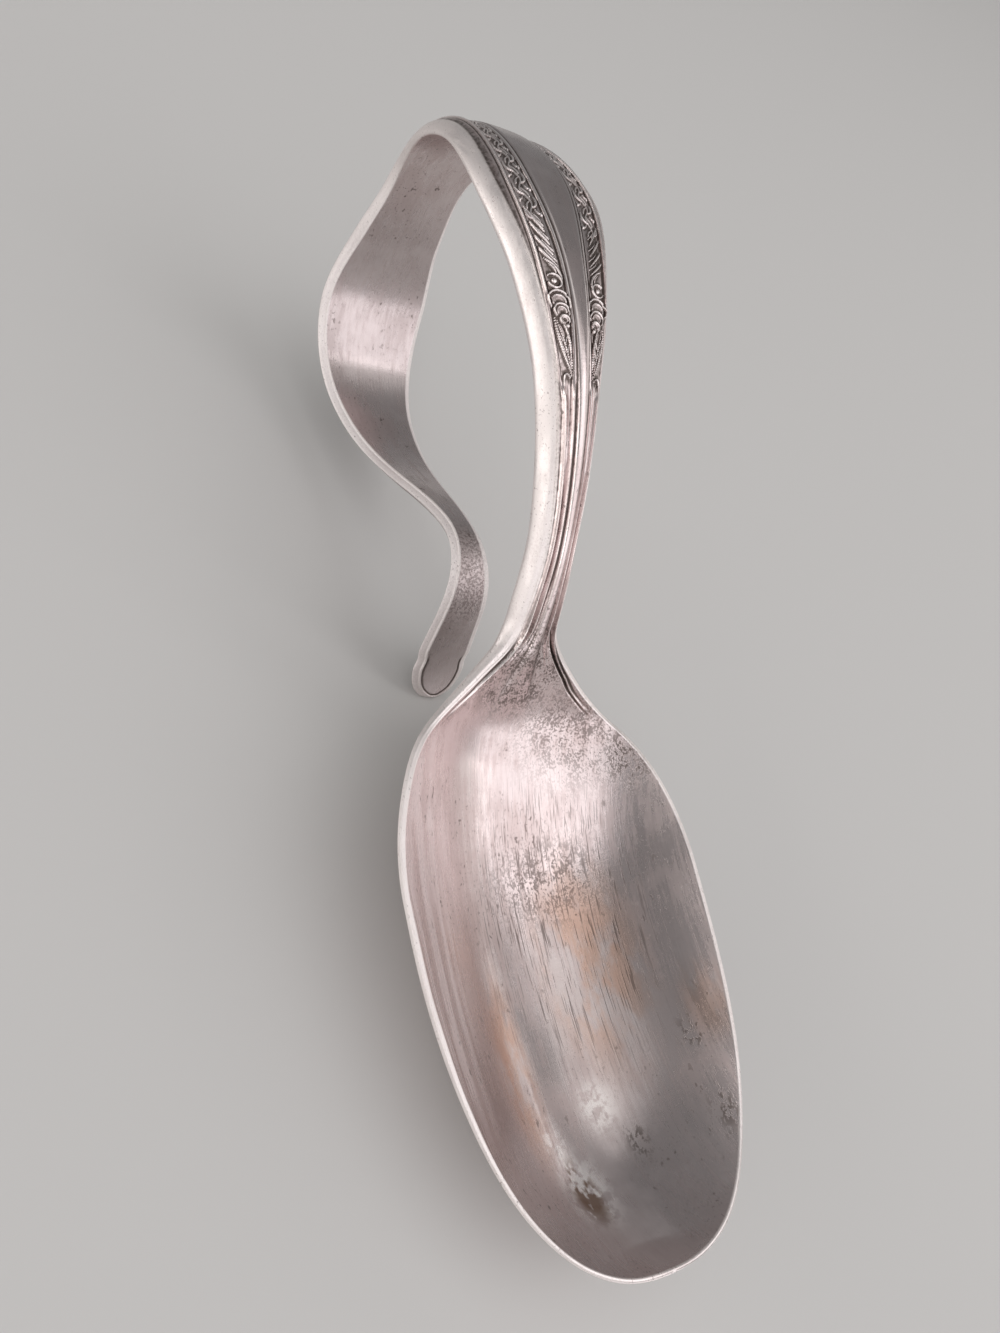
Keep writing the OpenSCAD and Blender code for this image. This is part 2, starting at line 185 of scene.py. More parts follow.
# Half-width of the mouth at share u of the length: one quarter oval back to the joint, one to the tip
def mouthShare(u):
    joint = oval(bs["jointWidth"] / bs["width"], bs["shoulderPower"])
    back = oval((1 - u / bs["widestShare"]) * joint, bs["shoulderPower"])
    front = oval((u - bs["widestShare"]) / (1 - bs["widestShare"]), bs["nosePower"])
    return np.where(u < bs["widestShare"], back, front)


# How much the bowl still follows the joint: 1 there, falling to 0 as a cube
def neckFade(u):
    return np.maximum(0, 1 - u / bs["fadeShare"]) ** 3


# Thickness of the wall: the strip's at the joint, the plain wall after it, and worn thin at the tip
def wallAt(u):
    wall = bs["wall"] + (hs["jointThick"] - bs["wall"]) * neckFade(u)
    return wall * (1 - bs["wornTip"] * easeIn(u, *bs["wornRun"]))


# Bowl's inner face at share f of a quarter turn from joint to tip, and share v across: an egg-shaped
# outline, a keel depth that falls off as a power of v, and a rim height, all running along the length
def bowlInner(f, v):
    f, v = np.broadcast_arrays(np.asarray(f, float), np.asarray(v, float))
    u = sinD(90 * f)
    drop = curveThrough(keelTable, u) * bs["depth"] * (1 - np.abs(v) ** bs["dishPower"])
    return np.stack([bs["length"] * u - drop * jointSin / jointCos * neckFade(u),
                     bs["width"] / 2 * mouthShare(u) * v, curveThrough(rimTable, u) - drop], -1)


# Normal of the inner face: square to its steps along and across
def bowlNormal(f, v, step=0.001):
    along = bowlInner(f + step, v) - bowlInner(f - step, v)
    across = bowlInner(f, v + step) - bowlInner(f, v - step)
    return unitRows(np.cross(along, across))


# Joint between bowl and neck: a shallow crescent in the plane of the strip's first cross-section, its
# height a power of the place across. Gives the height and the direction square to it
def crescent(y):
    half, dish, power = bs["jointWidth"] / 2, bs["jointDish"], bs["dishPower"]
    height = dish * np.abs(y / half) ** power / jointCos
    tilt = dish * power * np.abs(y / half) ** (power - 1) * np.sign(y) / half / jointCos
    return height, unitRows(np.stack([-tilt, np.ones_like(tilt)], -1))


# Places across a face, as shares of its half-width: even steps of the summed density
def sharesAcross():
    fine, density = np.linspace(0, 1, 2001), acrossPoints["sparse"]
    for more, low, high in acrossPoints["denser"]:
        density = density + more * easeIn(fine, low, high)
    summed = np.r_[0, np.cumsum((density[1:] + density[:-1]) / 2)]
    half = np.interp(np.linspace(0, 1, acrossPoints["face"] // 2 + 1), summed / summed[-1], fine)
    return np.r_[-half[:0:-1], half]


faceShares = sharesAcross()
faceCount, sideCount, fineEdge = acrossPoints["face"], acrossPoints["side"], acrossPoints["fineEdge"]
middle = faceCount // 2
plainPick = np.unique(np.r_[0:fineEdge, fineEdge:faceCount - fineEdge:acrossPoints["plainStep"],
                            faceCount - fineEdge:faceCount])
sideShares = np.linspace(0, 1, sideCount + 2)[1:-1]


# Rings along the strip, evenly spaced in each piece. Beyond the tip's notch they follow a sine, so
# that they close up towards its end
def stationsAlong():
    runs, s = [], np.array([0.0])
    for name, node, first, last, spacing in handlePieces:
        start, finish = ends[first], ends[last + 1]
        if finish == tipEnd:
            stations = np.r_[np.linspace(start, tipNotch, tipRings[0]),
                             mix(tipNotch, tipEnd, np.sin(np.linspace(0, np.pi / 2, tipRings[1])))[1:]]
        else:
            stations = np.linspace(start, finish, int(round((finish - start) / spacing)) + 1)
        runs.append((name, node, len(s) - 1, len(s) + len(stations) - 2))
        s = np.r_[s, stations[1:]]
    return runs, s


runs, strip = stationsAlong()
bowlTurn = np.linspace(1, 0, bs["rings"] + 1)[:-1]
bowlCount = len(bowlTurn)
runLength = np.r_[-bs["length"] * sinD(90 * bowlTurn), strip]
runColumn = runLength[:, None]


# Bulge of the strip's sides, less where the strip is narrow
def sideBulge(s):
    return linesThrough(hs["sideCrown"], s) * np.minimum(1, halfWidth(s) / hs["narrowHalf"])


# The bowl's two faces: the inner one, and that one moved outwards by the wall, square to itself
def bowlFaces():
    f, v, limit = bowlTurn[:, None], faceShares[None, :], bs["normalLimit"]
    inside = bowlInner(f, v)
    normal = bowlNormal(np.minimum(f, limit), np.clip(v, -limit, limit))
    normal[0] = normal[0, middle]
    return inside, inside - wallAt(sinD(90 * f))[..., None] * normal


# Sections of the neck: a mix of the joint's crescent and the stem's first section, whose share rises
# as a parabola that is level at the stem
def neckSections(s):
    jointY = faceShares * bs["jointWidth"] / 2
    height, tilt = crescent(jointY)
    jointTop = np.stack([jointY, hs["jointThick"] / 2 + height], -1)
    jointUnder = jointTop - hs["jointThick"] * tilt
    farTop = (regionWidth[0] / 2 - hs["neckTrim"] * linesThrough(hs["sideCrown"], neckEnd)) * faceShares
    farUnder = farTop + linesThrough(hs["flare"], neckEnd) * faceShares
    farHeight = regionThick[0] / 2
    share = (s / neckEnd * (2 - s / neckEnd))[:, None, None]
    top = mix(jointTop, np.stack([farTop, 0 * farTop + farHeight], -1), share)
    top[..., 0] += linesThrough(hs["lean"], s)[:, None] * (1 - faceShares)
    return top, mix(jointUnder, np.stack([farUnder, 0 * farUnder - farHeight], -1), share)


# Sections of the strip as (place across, height): flat faces half the thickness above and below the
# centre line, whose half-widths are the strip's with the flare, less the trim and the spare
def stripSections():
    v, w, t = faceShares[None, :], halfWidth(strip)[:, None], curveThrough(thickTable, strip)[:, None]
    lean = linesThrough(hs["lean"], strip)[:, None]
    flare = linesThrough(hs["flare"], strip)[:, None] * np.minimum(1, w / hs["narrowHalf"])
    trimShare = easeIn(strip, *hs["loopTrimRun"]) + hs["neckTrim"] * (1 - easeIn(strip, *hs["neckTrimRun"]))
    trim = (sideBulge(strip) * trimShare)[:, None]
    spare = hs["spareShare"] * np.minimum(flare, 0)
    topY, underY = lean + (w - lean - trim - spare) * v, (w + flare - trim - spare) * v
    top, under = np.stack([topY, 0 * topY + t / 2], -1), np.stack([underY, 0 * underY - t / 2], -1)
    inNeck = strip < neckEnd
    top[inNeck], under[inNeck] = neckSections(strip[inNeck])
    return top, under


# Places in space of the strip's sections: the height goes square to the centre line
def inSpace(section):
    slope = curveThrough(slopeTable, strip)[:, None]
    x, z = np.interp(strip, fineRun, fineX)[:, None], np.interp(strip, fineRun, fineZ)[:, None]
    height = section[..., 1]
    return np.stack([x + height * sinD(slope), section[..., 0], z + height * cosD(slope)], -1)


# Faces before rounding and relief: the decorated face and the plain face of every ring
def bareFaces():
    inside, outside = bowlFaces()
    top, under = stripSections()
    return np.concatenate([inside, inSpace(top)]), np.concatenate([outside, inSpace(under)])


# Flow of the bowl into the neck: near the joint each ring becomes the weighted mean of the rings
# around it, with a bell-shaped weight that is widest at the joint
flowShape = dict(spread=2.1, reachBowl=9.0, reachNeck=4.8, leastSpread=0.02, margin=120)


def flowTogether(points):
    fade = np.where(runLength < 0, 1 - easeIn(-runLength, 0, flowShape["reachBowl"]),
                    1 - easeIn(runLength, 0, flowShape["reachNeck"]))
    spread = flowShape["spread"] * fade
    near = np.nonzero(spread > flowShape["leastSpread"])[0]
    window = slice(max(0, near[0] - flowShape["margin"]), near[-1] + flowShape["margin"])
    gap = (runLength[near][:, None] - runLength[window][None, :]) / spread[near][:, None]
    weight = np.exp(-gap**2 / 2) * np.gradient(runLength)[window]
    weight /= weight.sum(1, keepdims=True)
    out = points.copy()
    out[near] = np.tensordot(weight, points[window], 1)
    return out


topFace, plainFace = (flowTogether(face) for face in bareFaces())


# Normals of a grid of points: square to its steps along and across, and away from the other face
def gridNormals(points, other):
    along, across = np.gradient(points, axis=0), np.gradient(points, axis=1)
    normal = unitRows(np.cross(along, across))
    normal[0], normal[-1] = normal[1, middle], normal[-2, middle]
    return np.where(((points - other) * normal).sum(-1, keepdims=True) < 0, -normal, normal)


topNormal, plainNormal = gridNormals(topFace, plainFace), gridNormals(plainFace, topFace)

# Search for a face's edge: how far it looks, and how many rings and points it takes at once
edgeSearch = dict(reach=3.0, rings=24, margin=70, points=3000)


# Distance of each point of a face from the nearest point of the face's edge, out to the search's reach
def edgeDistance(face):
    edges = np.stack([face[:, 0], face[:, -1]], 1)
    out = np.full(face.shape[:2], edgeSearch["reach"])
    block, margin, many = edgeSearch["rings"], edgeSearch["margin"], edgeSearch["points"]
    for start in range(0, len(face), block):
        rows = slice(start, min(start + block, len(face)))
        line = edges[max(0, start - margin):start + block + margin].reshape(-1, 3)
        part = face[rows]
        gap = ((part - edges[rows][:, :1])**2).sum(-1), ((part - edges[rows][:, 1:])**2).sum(-1)
        near = np.minimum(*gap) < edgeSearch["reach"]**2
        points = part[near]
        found = np.empty(len(points))
        for first in range(0, len(points), many):
            away = ((points[first:first + many, None] - line[None])**2).sum(-1)
            found[first:first + many] = np.sqrt(away.min(1))
        out[rows][near] = found
    return out


# How far a rounded edge has fallen below its face: a quarter circle
def edgeDrop(distance, radius):
    near = np.clip(1 - distance / radius, 0, 1)
    return radius * (1 - np.sqrt(1 - near**2))


# Relief of the decorated face: a rib that flattens into a plain panel, an inner and an outer thread,
# grooves beside them and a bevel down to the edge. A Place is a share of the way from rib to edge, a
# Level is a share of the height, a Run is from and to in arc length, and the rest is in millimetres
reliefShape = dict(
    fadeRun=(-3.4, 0.5), crestRun=(-5.0, 3.0), neckRun=(0.5, 6), panelRun=(24, 31), panelEdge=0.16,
    ribRound=0.6, ribSkirt=0.4, skirtSpread=1.9,
    threadHeight=0.17, threadHalf=0.14, innerThread=0.9,
    grooveDepth=0.13, grooveGap=0.22, grooveHalf=0.13, wideGap=0.24, wideHalf=0.14,
    insideGroove=0.8, outsideGroove=0.5, edgeGap=0.8, edgeGapRun=(0, 1.5), deepPlace=2.5, deepReach=6,
    bevelDrop=0.36, bevelGap=0.15, leastBevel=0.05, bevelPower=1.2, bevelRun=(0, 20),
    loopBevel=0.7, loopRun=(62, 80), bevelledEdge=0.25, bevelledRun=(2, 10), openFrom=20,
    innerPlace=[(0, 0.4), (5, 0.3), (14, 0.24), (22, 0.22), (28, 0.05), (121, 0.04)],
    innerLevel=[(0, 1), (22.6, 1), (23.6, 0.2), (30, 0.35), (121, 0.35)],
    outerPlace=[(0, 0.84), (5, 0.72), (14, 0.62), (22, 0.66), (27, 0.84), (32, 0.82), (41, 0.68),
                (62, 0.66), (121, 0.72)],
    outerLevel=[(0, 1), (22.4, 1), (23.6, 0), (27.4, 0), (30.2, 1), (121, 1)])


# Rib or panel plus swell, plus threads less grooves (deeper beside the joint), less the bevel. Gives
# the relief, and where the rib, the threads and the bevel are
def handleRelief():
    rs = reliefShape
    s, beforeJoint, v = np.maximum(runColumn, 0), np.maximum(-runColumn, 0), np.abs(faceShares)[None, :]
    w = np.maximum((topFace[:, -1, 1] - topFace[:, 0, 1])[:, None] / 2, 0.01)
    fade = easeIn(runColumn, *rs["fadeRun"])
    fade = fade * np.where(s > tipShoulder, np.clip(w / (regionWidth[-1] / 2), 0, 1), 1)
    inTable = np.clip(s, neckEnd, tipEnd)
    rib, crest = curveThrough(ribTable, inTable), curveThrough(crestTable, inTable)
    crest = crest * easeIn(runColumn, *rs["crestRun"])
    roundRib = (rs["ribRound"] * np.sqrt(np.clip(1 - (v / rib)**2, 0, 1))
                + rs["ribSkirt"] * bump(v / rib / rs["skirtSpread"]))
    plainPanel = easeIn(1 - v / rib, 0, rs["panelEdge"])
    swell = linesThrough(hs["swell"], s) * (1 - v**2) * fade
    height = crest * mix(roundRib, plainPanel, easeIn(s, *rs["panelRun"])) + swell

    place, reach = (v - rib) / (1 - rib), w * (1 - rib)
    inner, innerLevel, outer, outerLevel = (
        linesThrough(rs[key], s) for key in ("innerPlace", "innerLevel", "outerPlace", "outerLevel"))
    outer = mix(outer, 1 - rs["edgeGap"] / reach, easeIn(beforeJoint, *rs["edgeGapRun"]))
    fromInner, fromOuter = (place - inner) * reach, (place - outer) * reach
    atNeck, gap, grooveHalf = easeIn(s, *rs["neckRun"]), rs["grooveGap"], rs["grooveHalf"]
    thread = (atNeck * innerLevel * bump(fromInner / rs["threadHalf"]) * rs["innerThread"]
              + outerLevel * bump(fromOuter / rs["threadHalf"]))
    groove = (outerLevel * bump((fromOuter + rs["wideGap"]) / rs["wideHalf"])
              + atNeck * bump((fromInner - gap) / grooveHalf)
              + atNeck * innerLevel * bump((fromInner + gap) / grooveHalf) * rs["insideGroove"]
              + outerLevel * bump((fromOuter - gap) / grooveHalf) * rs["outsideGroove"])
    deeper = 1 + bump((s - rs["deepPlace"]) / rs["deepReach"])

    bevelWide = np.maximum((1 - outer) * reach - rs["bevelGap"], rs["leastBevel"])
    bevel = np.clip((fromOuter - rs["bevelGap"]) / bevelWide, 0, 1)
    bevelShare = easeIn(s, *rs["bevelRun"]) * (1 - rs["loopBevel"] * easeIn(s, *rs["loopRun"]))
    height = height + fade * (deeper * (rs["threadHeight"] * thread - rs["grooveDepth"] * groove)
                              - rs["bevelDrop"] * bevel ** rs["bevelPower"] * bevelShare)
    bevelled = easeIn(bevel, 0, rs["bevelledEdge"]) * easeIn(s, *rs["bevelledRun"])
    return height, w, rib, inner, outer, bevelled, (1 - outerLevel) * (s > rs["openFrom"])


relief, reliefHalf, ribShares, innerPlace, outerPlace, bevelled, unbounded = handleRelief()
print("relief from", relief.min().round(3), "to", relief.max().round(3), "mm")

# Scroll-and-leaf border between the two threads. Places are (arc length, share across the band);
# each stroke is a line with a half-width that swells in the middle, raised with a round top. Gaps are
# from the inner thread, from the outer one, from where that has stopped, and from the strip's edge
borderShape = dict(height=0.23, ground=0.11, start=22.9, finish=58.0, fadeIn=(-0.4, 1.2), fadeOut=1.5,
                   innerGap=0.16, outerGap=-0.12, openGap=0.3, edgeGap=0.45, soft=0.2, across=0.75,
                   vineStart=35.8, vineEnd=57.0, vineWave=2.4, vineSway=0.25, vineLeaves=17, margin=0.5,
                   rings=60)


# Part of a circle from one angle to another, whose radius shrinks evenly on the way
def arcStroke(centre, radius, fromAngle, toAngle, shrink=0.0, count=40):
    t = np.linspace(0, 1, count)
    angle, r = np.radians(mix(fromAngle, toAngle, t)), radius * (1 - shrink * t)
    return np.stack([centre[0] + r * np.cos(angle),
                     centre[1] + r * np.sin(angle) / borderShape["across"]], -1)


# Parabola from start to finish that leaves and arrives pointing at the bend
def bentStroke(start, bend, finish, count=24):
    t = np.linspace(0, 1, count)[:, None]
    return (1 - t)**2 * np.array(start) + 2 * t * (1 - t) * np.array(bend) + t**2 * np.array(finish)


# All strokes, as (points, half-widths, share of the height)
def borderStrokes():
    strokes = []

    def add(points, half, endShare=0.3, height=1.0):
        t = np.linspace(0, 1, len(points))
        strokes.append((points, half * mix(endShare, 1, np.sin(np.pi * t)**0.7), height))

    def addBead(centre, half, height=1.0):
        add(arcStroke(centre, 0.02, 0, 300, 0, 8), half, 1.0, height)

    # pointed leaf at the foot: a soft body, two outlines, a vein and side veins
    add(bentStroke((27.6, 0.3), (25.9, 0.15), (24.4, -0.6)), 0.5, 0.15, 0.2)
    add(bentStroke((28.1, 0.8), (25.7, 1.05), (24.0, -0.82)), 0.13, height=1.1)
    add(bentStroke((27.9, 0.05), (26.3, -0.95), (23.9, -0.9)), 0.13, height=1.1)
    add(bentStroke((27.9, 0.6), (26.2, 0.15), (24.0, -0.86)), 0.09)
    for k in range(3):
        down = 0.8 * k
        add(bentStroke((27.2 - down, 0.72 - 0.2 * k), (26.8 - down, 0.6 - 0.22 * k),
                       (26.4 - down, 0.3 - 0.25 * k)), 0.06, height=0.7)
        add(bentStroke((27.0 - down, -0.35 - 0.1 * k), (26.6 - down, -0.3 - 0.1 * k),
                       (26.2 - down, 0.05 - 0.25 * k)), 0.06, height=0.7)
    # crook at the head of the stem's threads, beside the leaf's point
    add(bentStroke((23.0, 0.7), (24.5, 0.75), (23.8, -0.5)), 0.08)
    # three nested petals above the leaf, each larger than the one below, and a bead at their foot
    for centre, size in (((28.0, -0.3), 0.38), ((28.65, -0.15), 0.6), ((29.4, -0.05), 0.84)):
        add(arcStroke(centre, size * 0.45, -80, 260), size * 0.42, 0.5, 0.3)
        add(arcStroke(centre, size, -110, 125), 0.11, 0.5)
        add(arcStroke(centre, size * 0.6, -100, 115), 0.07, 0.6, 0.8)
    addBead((27.6, -0.55), 0.16)
    # open scroll with a round eye, and a stem that crosses to the outer thread
    add(arcStroke((30.95, 0.1), 0.55, 40, -250, 0.1, 60), 0.1, 0.7)
    add(arcStroke((30.95, 0.1), 0.05, 0, 300, 0, 12), 0.17, 1.0)
    add(bentStroke((30.9, -0.6), (31.9, -0.95), (32.7, 0.55)), 0.12)
    add(bentStroke((31.6, -0.25), (32.0, -0.3), (32.3, 0.25)), 0.08, height=0.8)
    # narrow leaves above the scroll, each longer and flatter than the one below
    for k in range(4):
        start = 33.6 + 0.72 * k + 0.08 * k * k
        add(bentStroke((start + 0.2 * k, 0.78), (start - 0.4, 0.62 - 0.1 * k),
                       (start - 1.5, -0.7 + 0.12 * k)), 0.13, 0.15, 0.9)
        add(bentStroke((start - 0.1, 0.25), (start - 0.7, -0.1),
                       (start - 1.0, -0.75 + 0.1 * k)), 0.07, 0.3, 0.7)
    # running vine over the crown: a wavy stem with a long leaf, a short leaf and a bead at each bend
    vine = np.linspace(borderShape["vineStart"], borderShape["vineEnd"], 440)
    turn = (vine - borderShape["vineStart"]) * 2 * np.pi / borderShape["vineWave"]
    wavy = np.stack([vine, borderShape["vineSway"] * np.sin(turn)], -1)
    strokes.append((wavy, np.full(len(vine), 0.08), 0.5))
    for k in range(borderShape["vineLeaves"]):
        at, side = 35.9 + 1.2 * k, 1 if k % 2 == 0 else -1
        add(bentStroke((at, side * 0.05), (at + 0.3, side * 0.95), (at + 1.15, side * 0.66)),
            0.12, 0.15, 0.55)
        add(bentStroke((at + 0.7, side * 0.2), (at + 0.3, -side * 0.35), (at - 0.15, -side * 0.34)),
            0.09, 0.15, 0.5)
        addBead((at + 0.66, -side * 0.72), 0.12, 0.5)
        add(bentStroke((at + 0.9, -side * 0.85), (at + 0.5, -side * 0.5), (at + 1.1, -side * 0.3)),
            0.07, 0.3, 0.5)
    return strokes


# Height of the border: the highest stroke at each point, a half circle over its width, less the sunk
# ground, on the right half and mirrored to the left
def borderRelief():
    start, finish = borderShape["start"], borderShape["finish"]
    rows = np.nonzero((runLength > start - borderShape["margin"]) & (runLength < finish))[0]
    s, v = runColumn[rows], np.abs(faceShares[middle:])[None, :]
    rib, inner, outer, w = ribShares[rows], innerPlace[rows], outerPlace[rows], reliefHalf[rows]
    low = rib + (1 - rib) * inner + borderShape["innerGap"] / w
    beyond = mix(borderShape["outerGap"], borderShape["openGap"], unbounded[rows])
    high = np.minimum(rib + (1 - rib) * outer + beyond / w, 1 - borderShape["edgeGap"] / w)
    half = (high - low) / 2 * w
    across = v * w - (low + high) / 2 * w
    height = np.zeros((len(rows), across.shape[1]))
    for points, width, tall in borderStrokes():
        bandHalf = np.interp(points[:, 0], s[:, 0], half[:, 0])
        line, reach = np.stack([points[:, 0], points[:, 1] * bandHalf], -1), width.max()
        rowHit = np.nonzero((s[:, 0] > line[:, 0].min() - reach) & (s[:, 0] < line[:, 0].max() + reach))[0]
        for first in range(0, len(rowHit), borderShape["rings"]):
            part = rowHit[first:first + borderShape["rings"]]
            here = np.stack(np.broadcast_arrays(s[part], across[part]), -1)
            close = np.abs(line[:, 0] - s[part].mean()) < reach + np.ptp(s[part]) / 2 + 0.1
            if close.any():
                gap = np.linalg.norm(here[:, :, None] - line[close][None, None], axis=-1) / width[close]
                least = gap.min(-1)
                height[part] = np.maximum(height[part], tall * np.sqrt(np.clip(1 - least**2, 0, 1)))
    inside = easeIn(half - np.abs(across), -borderShape["soft"], 0.0)
    fadeIn = easeIn(s, start + borderShape["fadeIn"][0], start + borderShape["fadeIn"][1])
    fade = fadeIn * (1 - easeIn(s, finish - borderShape["fadeOut"], finish))
    bandHeight = (height * borderShape["height"] - borderShape["ground"]) * inside * fade
    out = np.zeros_like(relief)
    out[rows, middle:] = bandHeight
    out[rows, :middle + 1] = bandHeight[:, ::-1]
    return out


border = borderRelief()
relief = relief + border
print("border worked out")

# Long use has left the bowl very slightly uneven: a few seeded waves, a hundredth of a millimetre high
waveShape = dict(seed=11, count=14, height=0.0045, lengths=(4, 13), stretch=(0.5, 1.0, 0.3), phase=6.28,
                 fadeRun=(0, 6))
waveMaker = np.random.default_rng(waveShape["seed"])


# Sum of sine waves, each with its own direction, length and phase
def unevenness(points):
    total = np.zeros(points.shape[:-1])
    for _ in range(waveShape["count"]):
        direction = waveMaker.normal(size=3) * waveShape["stretch"]
        waveLength = waveMaker.uniform(*waveShape["lengths"])
        phase = waveMaker.uniform(0, waveShape["phase"])
        total += np.sin(points @ (unitRows(direction) * 2 * np.pi / waveLength) + phase)
    return total * waveShape["height"]


# Edges: the most that a rounding may take of the wall, how the relief dies out at the edge, the line
# cut round the underside of the tip, and how many points in from an edge or a pole the sides look
edgeShape = dict(roundShare=0.42, reliefFade=(-0.05, 0.1), linePlace=0.3, lineHalf=0.13, lineDepth=0.06,
                 lookIn=5)


# Radius of the edges of each ring: the rim's or the strip's, but never more than its share of the wall
def edgeRadius():
    share = edgeShape["roundShare"]
    bowl = np.minimum(mix(bs["rimRound"], hs["edgeRound"], bowlFade), share * wallAt(alongBowl))
    thick = curveThrough(thickTable, np.maximum(runColumn, 0))
    return np.where(runColumn > 0, np.minimum(hs["edgeRound"], share * thick), bowl)


alongBowl = sinD(90 * np.r_[bowlTurn, np.zeros(len(strip))])[:, None]
bowlFade = neckFade(alongBowl)
rounding = edgeRadius()
topDistance, plainDistance = edgeDistance(topFace), edgeDistance(plainFace)
relief = relief * easeIn(topDistance, *edgeShape["reliefFade"])
inset = bump((plainDistance - edgeShape["linePlace"]) / edgeShape["lineHalf"]) \
    * easeIn(runColumn, tipShoulder, tipNotch)
waves = unevenness(topFace) * easeIn(-runColumn, *waveShape["fadeRun"])
topFace = topFace + (relief + waves - edgeDrop(topDistance, rounding))[..., None] * topNormal
plainDrop = edgeDrop(plainDistance, rounding) + edgeShape["lineDepth"] * inset
plainFace = plainFace - plainDrop[..., None] * plainNormal


# One side of every ring, from edge to edge: a straight mix of the edges, moved outwards square to them
# by the root of a sine. Inward is a column a little in from the edge
def sideOfRings(edge, inward):
    start, finish, inRow = topFace[:, edge], plainFace[:, edge], edgeShape["lookIn"] + 1
    crown = np.where(runLength < 0, mix(bs["rimCrown"], hs["sideCrown"][0][1], bowlFade[:, 0]),
                     sideBulge(np.maximum(runLength, 0)))[:, None]
    out = unitRows(np.cross(np.gradient(start + finish, axis=0), topNormal[:, edge] - plainNormal[:, edge]))
    away = start + finish - topFace[:, inward] - plainFace[:, inward]
    out = out * np.where((out * away).sum(-1, keepdims=True) < 0, -1, 1)
    out[0] = unitRows(topFace[0, middle] - topFace[inRow, middle])
    out[-1] = unitRows(topFace[-1, middle] - topFace[-inRow, middle])
    bulge = crown * np.sqrt(np.sin(np.pi * sideShares))
    return mix(start[:, None], finish[:, None], sideShares[None, :, None]) + bulge[..., None] * out[:, None]


rightSide, leftSide = sideOfRings(-1, -1 - edgeShape["lookIn"]), sideOfRings(0, edgeShape["lookIn"])
rings = np.concatenate([topFace, rightSide, plainFace[:, plainPick[::-1]], leftSide[:, ::-1]], 1)
plainColumns = slice(faceCount + sideCount, rings.shape[1] - sideCount)

# Wear: how far the relief is blurred and what depth below that is full tarnish, how much the bevel and
# the border's ground (on the panel, then on the crown) add, and where the bright edge (rubbed wear and
# painted highlight) ends
wearShape = dict(blur=7, depth=0.055, bevel=0.45, ground=(0.35, 0.22), groundRun=(33, 38),
                 groundDepth=(0.01, 0.09), edge=(0.1, 0.26))


# Mean of the neighbours with a bell-shaped weight, along and then across
def blurred(values, reach):
    kernel = np.exp(-np.linspace(-2, 2, 2 * reach + 1)**2)
    kernel /= kernel.sum()

    def smooth(line):
        return np.convolve(np.pad(line, reach, mode="edge"), kernel, "valid")

    for axis in (0, 1):
        values = np.apply_along_axis(smooth, axis, values)
    return values


# Hollows hold tarnish, and edges are painted bright, partly rubbed wear and partly painted highlight:
# the blurred relief less the relief itself, and 1 at an edge (and over the side walls) falling to 0 inside
# it
def wearOfRings():
    hollow, edgeWearAndHighlight = np.zeros(rings.shape[:2]), np.ones(rings.shape[:2])
    ground = mix(*wearShape["ground"], easeIn(runColumn, *wearShape["groundRun"]))
    hollow[:, :faceCount] = ((blurred(relief, wearShape["blur"]) - relief) / wearShape["depth"]
                             + wearShape["bevel"] * bevelled
                             + ground * easeIn(-border, *wearShape["groundDepth"]))
    hollow[:, plainColumns] = inset[:, plainPick[::-1]]
    # the side walls keep 1: a painted highlight over the whole side, besides the rubbed edges
    edgeWearAndHighlight[:, :faceCount] = 1 - easeIn(topDistance, *wearShape["edge"])
    edgeWearAndHighlight[:, plainColumns] = 1 - easeIn(plainDistance[:, plainPick[::-1]], *wearShape["edge"])
    return hollow, edgeWearAndHighlight


hollow, edgeWearAndHighlight = wearOfRings()
print("rings worked out:", rings.shape)

# Stand: the range of pitch in degrees, how often it is halved, and how many rings the tip's foot is in
standShape = dict(pitches=(0.0, 30.0), halvings=40, tipRings=120)


def pitchedBy(points, angle):
    x, y, z = points[..., 0], points[..., 1], points[..., 2]
    return np.stack([x * cosD(angle) + z * sinD(angle), y, z * cosD(angle) - x * sinD(angle)], -1)


# The pitch at which the lowest points of the bowl and of the loop's tip share one level
def standingPitch():
    low, high = standShape["pitches"]
    for _ in range(standShape["halvings"]):
        pitch = (low + high) / 2
        bowlLow = pitchedBy(rings[:bowlCount], pitch)[..., 2].min()
        tipLow = pitchedBy(rings[-standShape["tipRings"]:], pitch)[..., 2].min()
        low, high = (pitch, high) if bowlLow > tipLow else (low, pitch)
    return pitch


pitch = standingPitch()
standing = pitchedBy(rings, pitch)
shift = np.array([(standing[..., 0].min() + standing[..., 0].max()) / 2, 0, standing[..., 2].min()])
standing = (standing - shift) * metre
print("pitch", round(pitch, 3), "size mm", (np.ptp(standing.reshape(-1, 3), axis=0) / metre).round(2))


# Normals of the rings: square to the steps across and along, and outwards at a ring of the stem. At a
# pole each face takes the normal of the middle of the next ring, and the side points straight out
def ringNormals(stemRing=200):
    across = np.roll(standing, -1, axis=1) - np.roll(standing, 1, axis=1)
    out = unitRows(np.cross(across, np.gradient(standing, axis=0)))
    sample = bowlCount + stemRing, middle
    if out[sample] @ (standing[sample] - standing[sample[0]].mean(0)) < 0:
        out = -out
    middlePlain = plainColumns.start + len(plainPick) // 2
    for row, near in ((0, 1), (-1, -2)):
        out[row, :faceCount], out[row, plainColumns] = out[near, middle], out[near, middlePlain]
        out[row, faceCount:plainColumns.start, 1] = 0
        out[row] = unitRows(out[row])
    return out


normals = ringNormals()


# Numbers of a run's points. At a pole each face is one point, and the two sides share theirs
def numberedPoints(count, poleFirst, poleLast):
    number = np.arange(count * rings.shape[1]).reshape(count, -1)
    for row, pole in ((0, poleFirst), (-1, poleLast)):
        if pole:
            number[row, :faceCount] = number[row, 0]
            number[row, plainColumns] = number[row, plainColumns.start]
            number[row, plainColumns.stop:] = number[row, faceCount:plainColumns.start][::-1]
    return number


